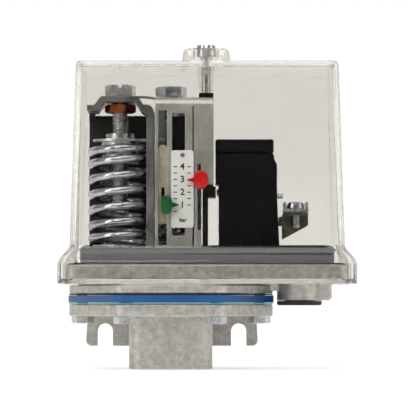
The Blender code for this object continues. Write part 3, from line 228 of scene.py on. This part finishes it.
def finish(name, light, dark, smooth, rough, metallic=0.0, patches=120, grain=1500, stretch=(1, 1, 1),
           relief=0.00001, worn=None, edge=0.00015, **sockets):
    """One material: a mottled skin, fine relief, and rounded edges that are rubbed to their own tone."""
    material = bpy.data.materials.new(name)
    material.use_nodes = True
    tree = material.node_tree
    shader = tree.nodes["Principled BSDF"]
    surface = add(tree, "ShaderNodeGroup", node_tree=skin, Light=(*light, 1), Dark=(*dark, 1),
                  Patches=patches, Grain=grain, Stretch=stretch, Smooth=smooth, Rough=rough)
    rim = add(tree, "ShaderNodeGroup", node_tree=edges, Radius=edge)
    colour = add(tree, "ShaderNodeMix", [(0, rim.outputs["Edge"]), (6, surface.outputs["Colour"])],
                 data_type="RGBA")
    colour.inputs[7].default_value = (*(worn or light), 1)
    bump = add(tree, "ShaderNodeBump", [("Height", surface.outputs["Height"]),
                                        ("Normal", rim.outputs["Normal"])], Distance=relief)
    for socket, source in (("Base Color", colour.outputs[2]), ("Roughness", surface.outputs["Roughness"]),
                           ("Normal", bump.outputs[0])):
        tree.links.new(source, shader.inputs[socket])
    shader.inputs["Metallic"].default_value = metallic
    for socket, value in sockets.items():
        shader.inputs[socket.replace("_", " ")].default_value = value
    return material


def dress(node, material, angle=35):
    """Gives a CAD node its material, and smooth shading across its facets up to an angle."""
    obj = nodes[node]
    for place in obj.material_slots:
        place.material = material
    obj.data.shade_smooth()
    weld = obj.modifiers.new("closed facets", "WELD")
    weld.merge_threshold = 0.000001
    split = obj.modifiers.new("crisp edges", "EDGE_SPLIT")
    split.split_angle = math.radians(angle)


cast_skin = finish("cast_aluminium_skin", (0.56, 0.55, 0.52), (0.34, 0.33, 0.31), 0.36, 0.54, 0.88,
                   patches=420, grain=2300, relief=0.00008, worn=(0.66, 0.65, 0.62), edge=0.0003)
dress("port_flange", cast_skin)
tray_shaded_skin = cast_skin.copy()
tray_shaded_skin.name = "cast_aluminium_painted_shade"
tree = tray_shaded_skin.node_tree
shader = tree.nodes["Principled BSDF"]
bare = shader.inputs["Base Color"].links[0].from_socket
height = add(tree, "ShaderNodeSeparateXYZ", [(0, add(tree, "ShaderNodeTexCoord").outputs["Object"])])
# Painted shade: above this height the tray's cast colour is mixed to near black, standing in for the shade on
# its upper inner wall.
shade_line, shade_fade = 0.0374, 0.0003
shade_mask = add(tree, "ShaderNodeMapRange", [("Value", height.outputs["Z"])],
              From_Min=shade_line, From_Max=shade_line + shade_fade)
shaded_tone = add(tree, "ShaderNodeMix", [(0, shade_mask.outputs[0]), (6, bare)], data_type="RGBA")
shaded_tone.inputs[7].default_value = (0.018, 0.018, 0.016, 1)
tree.links.new(shaded_tone.outputs[2], shader.inputs["Base Color"])
dress("base_casting", tray_shaded_skin)


def bar(name, low, high, turn=0.0):
    """A plain block between two corners, turned about its own upright axis."""
    bm = bmesh.new()
    bmesh.ops.create_cube(bm, size=1)
    size = Vector(high) - Vector(low)
    middle = (Vector(low) + Vector(high)) / 2
    bm.transform(Matrix.Translation(middle) @ Matrix.Rotation(turn, 4, "Z") @ Matrix.Diagonal((*size, 1)))
    return plain_object(name, bm)


def plain_object(name, bm):
    """The bmesh as an object whose faces point outwards."""
    bmesh.ops.recalc_face_normals(bm, faces=bm.faces)
    mesh = bpy.data.meshes.new(name)
    bm.to_mesh(mesh)
    bm.free()
    obj = bpy.data.objects.new(name, mesh)
    bpy.context.scene.collection.objects.link(obj)
    return obj


def shown(obj, material, body, *stands_for, slot=None, angle=35):
    """Finishes a new piece: its material, smooth shading, the body it rides on, the nodes it stands for."""
    obj.data.materials.clear()
    obj.data.materials.append(material)
    obj.data.shade_smooth()
    obj.data.set_sharp_from_angle(angle=math.radians(angle))
    if body:
        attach(obj, body)
    if stands_for:
        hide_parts(*stands_for)
    return obj


# The two halves of the die left a line of flash down the middle of the port boss.
flange_low, flange_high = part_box("port_flange")
flash_x, flash_half = (flange_low.x + flange_high.x) / 2 + 0.0003, 0.00013
flash_bottom, flash_top, boss_face, flash_proud, flash_root = 0.0030, 0.0188, -0.0151, 0.00010, 0.00005
flash = bar("parting_line", (flash_x - flash_half, boss_face - flash_proud, flash_bottom),
            (flash_x + flash_half, boss_face + flash_root, flash_top))
shown(flash, cast_skin, "base", slot="cast_aluminium")


# ------------------------------------------------------------------ stack between the castings
# A moulded blue ring spaces the castings, with a thin green fibre gasket under it and the black
# rubber diaphragm over it.
dress("spacer_ring", finish("ring_blue", (0.001, 0.078, 0.260), (0.001, 0.050, 0.175), 0.34, 0.52,
                            patches=60, grain=900, relief=0.00001, worn=(0.012, 0.13, 0.36), edge=0.00025))
dress("port_gasket", finish("gasket_green", (0.14, 0.46, 0.38), (0.07, 0.30, 0.25), 0.70, 0.85,
                            patches=300, grain=4000, relief=0.00002))
rubber = finish("black_rubber", (0.016, 0.016, 0.017), (0.008, 0.008, 0.008), 0.55, 0.80,
                patches=150, grain=2500, relief=0.00002, worn=(0.03, 0.03, 0.03))
for name in ("diaphragm", "cover_seal", "entry_plug"):
    dress(name, rubber)


# ------------------------------------------------------------------ flange screws
# Six zinc-plated hexagon screws clamp the stack from below. Their heads are cold formed, with the
# usual chamfer that leaves an arc on each flat.
zinc = finish("bright_zinc_plate", (0.66, 0.68, 0.70), (0.44, 0.46, 0.49), 0.16, 0.34, 1.0,
              patches=260, grain=3000, relief=0.000012, worn=(0.80, 0.81, 0.82))


def combined(obj, *steps):
    """The object after Boolean steps, each an operation and a tool that is used up."""
    for operation, tool in steps:
        modifier = obj.modifiers.new(operation.lower(), "BOOLEAN")
        modifier.operation, modifier.object = operation, tool
    bpy.context.view_layer.update()
    mesh = bpy.data.meshes.new_from_object(obj.evaluated_get(bpy.context.evaluated_depsgraph_get()))
    obj.modifiers.clear()
    obj.data = mesh
    for _, tool in steps:
        bpy.data.objects.remove(tool)
    return obj


def turned(name, x, y, profile, steps=48):
    """A solid of revolution about a vertical axis from (radius, z) points."""
    bm = bmesh.new()
    points = [bm.verts.new((radius, 0, z)) for radius, z in profile]
    for first, second in zip(points, points[1:]):
        bm.edges.new((first, second))
    bmesh.ops.spin(bm, geom=bm.verts[:] + bm.edges[:], axis=(0, 0, 1), cent=(0, 0, 0), angle=math.tau,
                   steps=steps, use_merge=True)
    bmesh.ops.remove_doubles(bm, verts=bm.verts, dist=0.0000005)
    bmesh.ops.translate(bm, vec=(x, y, 0), verts=bm.verts)
    return plain_object(name, bm)


def hexagon(name, x, y, low, high, flats, turn=0.0, chamfer_top=True, chamfer_bottom=False):
    """A hexagon bar on a vertical axis, with a flat towards -Y before it is turned, chamfered by a cone."""
    bm = bmesh.new()
    corner = flats / math.sqrt(3)
    bmesh.ops.create_cone(bm, cap_ends=True, segments=6, radius1=corner, radius2=corner, depth=high - low)
    bmesh.ops.rotate(bm, cent=(0, 0, 0), matrix=Matrix.Rotation(turn + math.pi / 6, 3, "Z"), verts=bm.verts)
    bmesh.ops.translate(bm, vec=(x, y, (low + high) / 2), verts=bm.verts)
    prism = plain_object(name, bm)
    land, reach, past = 0.475 * flats, 0.62 * flats, 0.001
    drop = (reach - land) * 0.5
    upper = [(0, high), (land, high), (reach, high - drop)]
    lower = [(reach, low + drop), (land, low), (0, low)]
    if not chamfer_top:
        upper = [(0, high + past), (reach, high + past)]
    if not chamfer_bottom:
        lower = [(reach, low - past), (0, low - past)]
    return combined(prism, ("INTERSECT", turned(name + "_cone", x, y, upper + lower)))


head_height, shank_radius, sunk = 0.0026, 0.0020, 0.0005
for index in range(1, 7):
    low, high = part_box(f"flange_screw_{index}")
    x, y = (low.x + high.x) / 2, (low.y + high.y) / 2
    head_top = low.z + head_height
    head = hexagon(f"flange_screw_{index}_fine", x, y, low.z, head_top, high.y - low.y, 0.0, False, True)
    shank = turned("shank", x, y, [(0, high.z), (shank_radius, high.z), (shank_radius, head_top - sunk),
                                   (0, head_top - sunk)], 24)
    shown(combined(head, ("UNION", shank)), zinc, "base", f"flange_screw_{index}", slot="zinc_plated_steel")


# ------------------------------------------------------------------ bridge and backing plate
# One bent strip of plated steel sheet carries the main screw, and a blackened plate closes the
# bay behind the spring.
sheet = finish("plated_sheet", (0.36, 0.36, 0.35), (0.20, 0.20, 0.19), 0.24, 0.42, 1.0,
               patches=90, grain=900, stretch=(6, 6, 0.4), relief=0.000012, worn=(0.72, 0.73, 0.72),
               edge=0.0003)
dress("spring_bridge", sheet)
dress("backing_plate", finish("blackened_plate", (0.016, 0.017, 0.017), (0.008, 0.008, 0.008), 0.45, 0.65,
                              0.2, patches=100, grain=1500, worn=(0.05, 0.05, 0.05)))


# ------------------------------------------------------------------ main spring
# Right-hand compression spring in bright zinc-plated wire, its end turns wound closed and ground.
wire_finish = finish("spring_wire", (0.70, 0.71, 0.74), (0.42, 0.43, 0.47), 0.10, 0.24, 1.0,
                     patches=200, grain=2600, relief=0.000008, worn=(0.80, 0.81, 0.82))


def coil(name, node, wire, turns, per_turn, sides, material):
    """A spring that fills the node's box, wound from the bottom up, one end closed on each side."""
    low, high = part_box(node)
    x = (low.x + high.x) / 2
    outer = (high.y - low.y) / 2
    closed = wire + 0.0003
    pitch = (high.z - low.z - wire - 2 * closed) / (turns - 2)
    centre = outer - wire / 2
    bm = bmesh.new()
    ring = bmesh.ops.create_circle(bm, segments=sides, radius=wire / 2,
                                   matrix=Matrix.Rotation(math.pi / 2, 4, "X"))
    bmesh.ops.translate(bm, vec=(centre, 0, low.z + wire / 2), verts=ring["verts"])
    geom = bm.verts[:] + bm.edges[:]
    for count, rise in ((1, closed), (turns - 2, pitch), (1, closed)):
        wound = bmesh.ops.spin(bm, geom=geom, axis=(0, 0, 1), cent=(0, 0, 0), dvec=(0, 0, rise / per_turn),
                               angle=math.tau * count, steps=per_turn * count)
        geom = wound["geom_last"]
    bmesh.ops.remove_doubles(bm, verts=bm.verts, dist=0.0000005)
    bmesh.ops.holes_fill(bm, edges=[e for e in bm.edges if e.is_boundary], sides=sides + 1)
    bmesh.ops.translate(bm, vec=(x, 0, 0), verts=bm.verts)
    obj = plain_object(name, bm)
    shown(obj, material, None, node, slot="zinc_plated_steel", angle=60)
    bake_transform(obj)
    return obj


coil("main_spring_coil", "main_spring", 0.0031, 7, 48, 20, wire_finish)
for name in ("lower_spring_seat", "main_spring_carriage", "differential_spring_seat", "plunger_pin",
             "pressure_plate"):
    dress(name, zinc)


# ------------------------------------------------------------------ setting screws and nut
# Two M6 hexagon-head screws in bright zinc, the main one slotted, run in rolled threads. A coppered
# nut keeps the main screw from lifting out of the bridge.
def threaded(name, x, y, low, high, radius, pitch, steps=28):
    """A rod with a rolled right-hand thread along its whole length."""
    depth = 0.6 * pitch
    root, crest = radius - depth, radius
    core = turned(name, x, y, [(0, high), (root, high), (root, low + depth), (root - depth, low), (0, low)],
                  steps)
    bm = bmesh.new()
    buried = root - 0.0001
    section = [(buried, -0.44), (crest, -0.07), (crest, 0.07), (buried, 0.44)]
    corners = [bm.verts.new((out, 0, low + (1.0 + rise) * pitch)) for out, rise in section]
    ring = [bm.edges.new((first, second)) for first, second in zip(corners, corners[1:] + corners[:1])]
    turns = int((high - low) / pitch) - 2
    wound = bmesh.ops.spin(bm, geom=corners + ring, axis=(0, 0, 1), cent=(0, 0, 0),
                           dvec=(0, 0, pitch / steps), angle=math.tau * turns, steps=steps * turns)
    bm.faces.new(corners)
    bm.faces.new(vertices_of(wound["geom_last"]))
    bmesh.ops.translate(bm, vec=(x, y, 0), verts=bm.verts)
    return combined(core, ("UNION", plain_object("thread", bm)))


head_flats, thread_radius, thread_pitch, bore_play, past = 0.0100, 0.0030, 0.0010, 0.0002, 0.001
for node, head_height, turn, slotted in (
    ("main_adjusting_screw", 0.0040, 18, True), ("differential_screw", 0.0036, 10, False),
):
    low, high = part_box(node)
    x, base_z, turn = (low.x + high.x) / 2, high.z - head_height, math.radians(turn)
    head = hexagon(node + "_fine", x, 0, base_z, high.z, head_flats, turn)
    steps = [("UNION", threaded("shank", x, 0, low.z, base_z + 0.0002, thread_radius, thread_pitch))]
    if slotted:
        reach, half, depth = 0.010, 0.0007, 0.0012
        steps.append(("DIFFERENCE", bar("slot", (x - reach, -half, high.z - depth),
                                        (x + reach, half, high.z + depth), turn + math.radians(70))))
    body = "main_screw" if slotted else "differential_screw"
    shown(combined(head, *steps), zinc, body, node, slot="zinc_plated_steel", angle=30)
low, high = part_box("retaining_nut")
x = (low.x + high.x) / 2
nut = hexagon("retaining_nut_fine", x, 0, low.z, high.z, head_flats, math.radians(-9), True, True)
bore_radius = thread_radius + bore_play
bore = turned("bore", x, 0, [(0, high.z + past), (bore_radius, high.z + past), (bore_radius, low.z - past),
                             (0, low.z - past)])
copper = finish("coppered_nut", (0.62, 0.20, 0.075), (0.34, 0.075, 0.022), 0.24, 0.42, 1.0,
                patches=320, grain=2500, worn=(0.74, 0.34, 0.17))
shown(combined(nut, ("DIFFERENCE", bore)), copper, "main_screw", "retaining_nut", slot="coppered_steel")
dress("locking_leaf", finish("leaf_steel", (0.30, 0.29, 0.22), (0.15, 0.145, 0.10), 0.25, 0.45, 1.0,
                             patches=140, grain=1200, stretch=(0.5, 6, 6), worn=(0.46, 0.45, 0.38)))


# ------------------------------------------------------------------ bracket and scale
# The bent bracket is satin plated sheet. Its scale is a white printed plate with raised ink, marked
# in whole units with half-unit ticks, and held by one small screw.
dress("main_bracket", finish("satin_bracket", (0.60, 0.585, 0.55), (0.40, 0.39, 0.36), 0.34, 0.50, 1.0,
                             patches=70, grain=1000, stretch=(5, 5, 0.5), worn=(0.70, 0.70, 0.67),
                             edge=0.0004))
dress("scale_screw", zinc)
dress("scale_plate", finish("printed_white", (0.90, 0.91, 0.90), (0.80, 0.81, 0.80), 0.35, 0.50,
                            patches=90, grain=1500, worn=(0.92, 0.92, 0.91)))
ink = finish("black_ink", (0.010, 0.010, 0.011), (0.018, 0.018, 0.019), 0.5, 0.7,
             patches=300, grain=3000, edge=0.00001)
scale_low, scale_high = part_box("scale_plate")
scale_x, ink_y = (scale_low.x + scale_high.x) / 2, scale_low.y
unit, first_mark, ink_proud = 0.0046, scale_high.z - 0.0059, 0.00003


def raised(name, pieces):
    """Printed marks joined in one mesh that stands a hair out of the scale."""
    bm = bmesh.new()
    for piece in pieces:
        graph = bpy.context.evaluated_depsgraph_get()
        mesh = bpy.data.meshes.new_from_object(piece.evaluated_get(graph))
        mesh.transform(piece.matrix_world)
        bm.from_mesh(mesh)
        bpy.data.objects.remove(piece)
    bmesh.ops.remove_doubles(bm, verts=bm.verts, dist=0.0000002)
    shown(plain_object(name, bm), ink, "base", slot="printed_scale", angle=20)


def lettering(text, x, z, size):
    """A number or a unit, upright on the face of the scale."""
    curve = bpy.data.curves.new("mark_" + text, "FONT")
    curve.body, curve.size, curve.extrude, curve.offset = text, size, ink_proud, 0.00007
    curve.resolution_u = 4
    curve.align_x, curve.align_y = "CENTER", "CENTER"
    obj = bpy.data.objects.new("mark_" + text, curve)
    obj.location = (x, ink_y, z)
    obj.rotation_euler.x = math.pi / 2
    bpy.context.scene.collection.objects.link(obj)
    bpy.context.view_layer.update()
    return obj


number_size, unit_size, most_units, thin = 0.0033, 0.0021, 4, 0.00018
raised("scale_numbers", [
    lettering(str(most_units - index), scale_x, first_mark - index * unit, number_size)
    for index in range(most_units)
])
raised("scale_unit", [lettering("bar", scale_x + 0.0002, scale_low.z + 0.0028, unit_size)])
ticks = []
for index in range(2 * most_units):
    z = first_mark - index * unit / 2
    for near, far, most in (
        (scale_low.x + 0.0008, scale_low.x + 0.0022, 2 * most_units),
        (scale_high.x - 0.0023, scale_high.x - 0.0009, 2 * most_units - 1),
    ):
        if index < most:
            ticks.append(bar("tick", (near, ink_y - ink_proud, z - thin), (far, ink_y + ink_proud, z + thin)))
raised("scale_ticks", ticks)


# ------------------------------------------------------------------ pointers and their carriers
# Glossy moulded knobs in red and green ride on a black slider and on a cream moulded bar.
dress("red_pointer", finish("pointer_red", (0.70, 0.012, 0.008), (0.56, 0.006, 0.005), 0.16, 0.30,
                            patches=200, grain=1800, relief=0.000004, worn=(0.80, 0.06, 0.04)))
dress("green_pointer", finish("pointer_green", (0.010, 0.135, 0.035), (0.005, 0.085, 0.020), 0.22, 0.36,
                              patches=200, grain=1800, relief=0.000004, worn=(0.05, 0.24, 0.09)))
dress("pointer_guide", finish("cream_moulding", (0.68, 0.62, 0.50), (0.52, 0.46, 0.36), 0.20, 0.36,
                              patches=160, grain=1500, relief=0.000006, worn=(0.78, 0.74, 0.64),
                              edge=0.0004))
black = finish("black_moulding", (0.004, 0.004, 0.004), (0.002, 0.002, 0.002), 0.44, 0.60,
               patches=110, grain=1700, relief=0.000012, worn=(0.020, 0.020, 0.021), edge=0.0003,
               Specular_IOR_Level=0.12)
dress("differential_carriage", black)
coil("differential_spring_coil", "differential_spring", 0.0016, 5, 40, 14, wire_finish)


# ------------------------------------------------------------------ rocker and snap switch
# The rocker is blackened steel on a ground pin. The switch is a black moulding that stands beside it,
# with brass contacts inside and three screw terminals on its side.
dress("rocker", finish("blackened_steel", (0.022, 0.022, 0.022), (0.010, 0.010, 0.010), 0.30, 0.50, 0.4,
                       patches=90, grain=1300, worn=(0.09, 0.09, 0.09)))
for name in ("pivot_pin", "switch_pin"):
    dress(name, zinc)
for name in ("switch_housing", "switch_lid"):
    dress(name, black)
brass = finish("contact_brass", (0.62, 0.44, 0.17), (0.42, 0.28, 0.10), 0.22, 0.40, 1.0,
               patches=200, grain=1800)
for name in ("switch_plunger", "contact_blade", "contact_closed", "contact_open"):
    dress(name, brass)
bracket_metal = finish("terminal_strip", (0.17, 0.17, 0.125), (0.09, 0.09, 0.065), 0.28, 0.45, 1.0,
                       patches=220, grain=1800, worn=(0.32, 0.32, 0.26))
for index in range(1, 4):
    dress(f"terminal_bracket_{index}", bracket_metal)
    dress(f"terminal_clamp_{index}", zinc)
    low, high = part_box(f"terminal_screw_{index}")
    x, y, head, shank = (low.x + high.x) / 2, (low.y + high.y) / 2, (high.x - low.x) / 2, 0.0018
    seat_z, crown, slot_half, slot_depth = high.z - 0.0026, high.z - 0.0005, 0.0004, 0.0012
    cap = turned("terminal_screw", x, y, [
        (0, high.z), (head - 0.0014, high.z), (head - 0.0006, high.z - 0.00018), (head - 0.0002, crown),
        (head, high.z - 0.0013), (head, seat_z + 0.0002), (head - 0.0002, seat_z), (0, seat_z),
    ])
    cap = combined(
        cap, ("UNION", threaded("shank", x, y, low.z, seat_z + 0.0002, shank, 0.0007, 20)),
        ("DIFFERENCE", bar("slot", (x - head - past, y - slot_half, high.z - slot_depth),
                           (x + head + past, y + slot_half, high.z + past))),
    )
    cap.name = f"terminal_screw_{index}_fine"
    shown(cap, zinc, f"terminal_screw_{index}", f"terminal_screw_{index}", slot="zinc_plated_steel",
          angle=30)


# ------------------------------------------------------------------ clear cover
# One clear moulding: drafted walls, a flared rim that drops over the tray, two thin ribs under its
# top, and a tapered lug with a long tube in which the captive screw turns.
glass = bpy.data.materials.new("clear_moulding")
glass.use_nodes = True
tree = glass.node_tree
shader = tree.nodes["Principled BSDF"]
for socket, value in (("Base Color", (0.845, 0.84, 0.82, 1)), ("IOR", 1.50), ("Transmission Weight", 1.0)):
    shader.inputs[socket].default_value = value
ripple = add(tree, "ShaderNodeGroup", node_tree=skin, Patches=35, Grain=160, Stretch=(1, 1, 1), Smooth=0.0,
             Rough=0.035)
swell = add(tree, "ShaderNodeBump", [("Height", ripple.outputs["Height"])], Distance=0.00002)
tree.links.new(ripple.outputs["Roughness"], shader.inputs["Roughness"])
tree.links.new(swell.outputs[0], shader.inputs["Normal"])
in_shadow = add(tree, "ShaderNodeLightPath").outputs["Is Shadow Ray"]
through = add(tree, "ShaderNodeBsdfTransparent", Color=(0.93, 0.93, 0.92, 1))
blend = add(tree, "ShaderNodeMixShader", [(0, in_shadow), (1, shader.outputs[0]), (2, through.outputs[0])])
tree.links.new(blend.outputs[0], tree.nodes["Material Output"].inputs["Surface"])

cover_low, cover_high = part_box("cover")
wall, lug_height = 0.0024, 0.0059
shell_top = cover_high.z - lug_height
rim_top, flare_height = cover_low.z + 0.0073, 0.0067
step, top_in, edge_radius = 0.0043, 0.0064, 0.0015


def section(bm, inset, z, steps=10):
    """One rounded level of the cover, this far in from its rim, as a closed loop of edges."""
    half_x, half_y = cover_high.x - inset, cover_high.y - inset
    corner = max(0.0020 + 0.7 * (top_in - inset), 0.0008)
    ring = []
    for quarter, (sx, sy) in enumerate(((1, 1), (-1, 1), (-1, -1), (1, -1))):
        for index in range(steps + 1):
            angle = math.radians(90 * (quarter + index / steps))
            ring.append(bm.verts.new((sx * (half_x - corner) + corner * math.cos(angle),
                                      sy * (half_y - corner) + corner * math.sin(angle), z)))
    return ring


bm = bmesh.new()
lip_chamfer, flare_steps = 0.00025, 8
levels = [(lip_chamfer, cover_low.z), (0, cover_low.z + lip_chamfer), (0, rim_top)]
for index in range(1, flare_steps + 1):
    part = index / flare_steps
    ease = part * part * (3 - 2 * part)
    levels.append((step * ease, rim_top + flare_height * part))
for index in range(flare_steps + 1):
    angle = math.radians(90 * index / flare_steps)
    levels.append((top_in + edge_radius * (1 - math.cos(angle)),
                   shell_top - edge_radius * (1 - math.sin(angle))))
rings = [section(bm, *level) for level in levels]
for lower, upper in zip(rings, rings[1:]):
    for index in range(len(lower)):
        after = (index + 1) % len(lower)
        bm.faces.new((lower[index], lower[after], upper[after], upper[index]))
bm.faces.new(rings[-1])
shell = plain_object("cover_fine", bm)
thick = shell.modifiers.new("wall", "SOLIDIFY")
thick.thickness, thick.offset, thick.use_even_offset = wall, -1, True
screw_low, screw_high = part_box("cover_screw")
x = (screw_low.x + screw_high.x) / 2
shank, head_radius, play = 0.0015, (screw_high.x - screw_low.x) / 2, 0.0002
seat_z = screw_high.z - 0.0051
tube_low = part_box("screw_ring")[1].z + 0.0003
lug_top, lug_foot, tube_top, tube_end, rooted = 0.0083, 0.0092, 0.0031, 0.0027, shell_top - past
lug = turned("lug", x, 0, [
    (0, cover_high.z), (lug_top - 0.0005, cover_high.z), (lug_top, cover_high.z - 0.0005),
    (lug_foot, shell_top + 0.0004), (lug_foot + 0.0008, shell_top - 0.0001), (lug_foot + 0.0008, rooted),
    (0, rooted),
], 96)
tube = turned("tube", x, 0, [(0, rooted), (tube_top, rooted), (tube_end, tube_low), (0, tube_low)], 64)
head_way, shank_way = head_radius + 0.0005, shank + play
ways = turned("ways", x, 0, [
    (0, cover_high.z + past), (head_way, cover_high.z + past), (head_way, seat_z), (shank_way, seat_z),
    (shank_way, tube_low - past), (0, tube_low - past),
], 64)
rib_x, rib_half, rib_reach, rib_depth, under = 0.0313, 0.00025, 0.0235, 0.0004, shell_top - wall
ribs = [
    bar("rib", (side * rib_x - rib_half, -rib_reach, under - rib_depth),
        (side * rib_x + rib_half, rib_reach, under + 0.0005))
    for side in (-1, 1)
]
cover = combined(shell, ("UNION", lug), ("UNION", tube), *(("UNION", rib) for rib in ribs),
                 ("DIFFERENCE", ways))
shown(cover, glass, "cover", "cover", slot="clear_plastic", angle=30)
flat = cover.modifiers.new("flat walls", "WEIGHTED_NORMAL")
flat.weight, flat.keep_sharp = 100, True

# The captive screw is turned from bar, with a slot for a coin, and a black ring keeps it in its tube.
point, slot_half, slot_depth = 0.0005, 0.0005, 0.0014
pin = turned("cover_screw_fine", x, 0, [
    (0, screw_high.z), (head_radius - 0.0004, screw_high.z), (head_radius - 0.0001, screw_high.z - 0.00015),
    (head_radius, screw_high.z - 0.0004), (head_radius, seat_z + 0.0003),
    (head_radius - 0.0002, seat_z + 0.0001), (shank, seat_z + 0.0001), (shank, screw_low.z + point),
    (shank - point, screw_low.z), (0, screw_low.z),
])
slot = bar("slot", (x - slot_half, -head_radius - past, screw_high.z - slot_depth),
           (x + slot_half, head_radius + past, screw_high.z + past))
shown(combined(pin, ("DIFFERENCE", slot)), zinc, "cover_screw", "cover_screw", slot="zinc_plated_steel")
ring_low, ring_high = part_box("screw_ring")
outer, inner, soft = (ring_high.x - ring_low.x) / 2, shank + play, 0.0003
ring = turned("screw_ring_fine", x, 0, [
    (inner, ring_high.z), (outer - soft, ring_high.z), (outer, ring_high.z - soft),
    (outer, ring_low.z + soft), (outer - soft, ring_low.z), (inner, ring_low.z), (inner, ring_high.z),
])
shown(ring, black, "cover_screw", "screw_ring", slot="black_plastic")
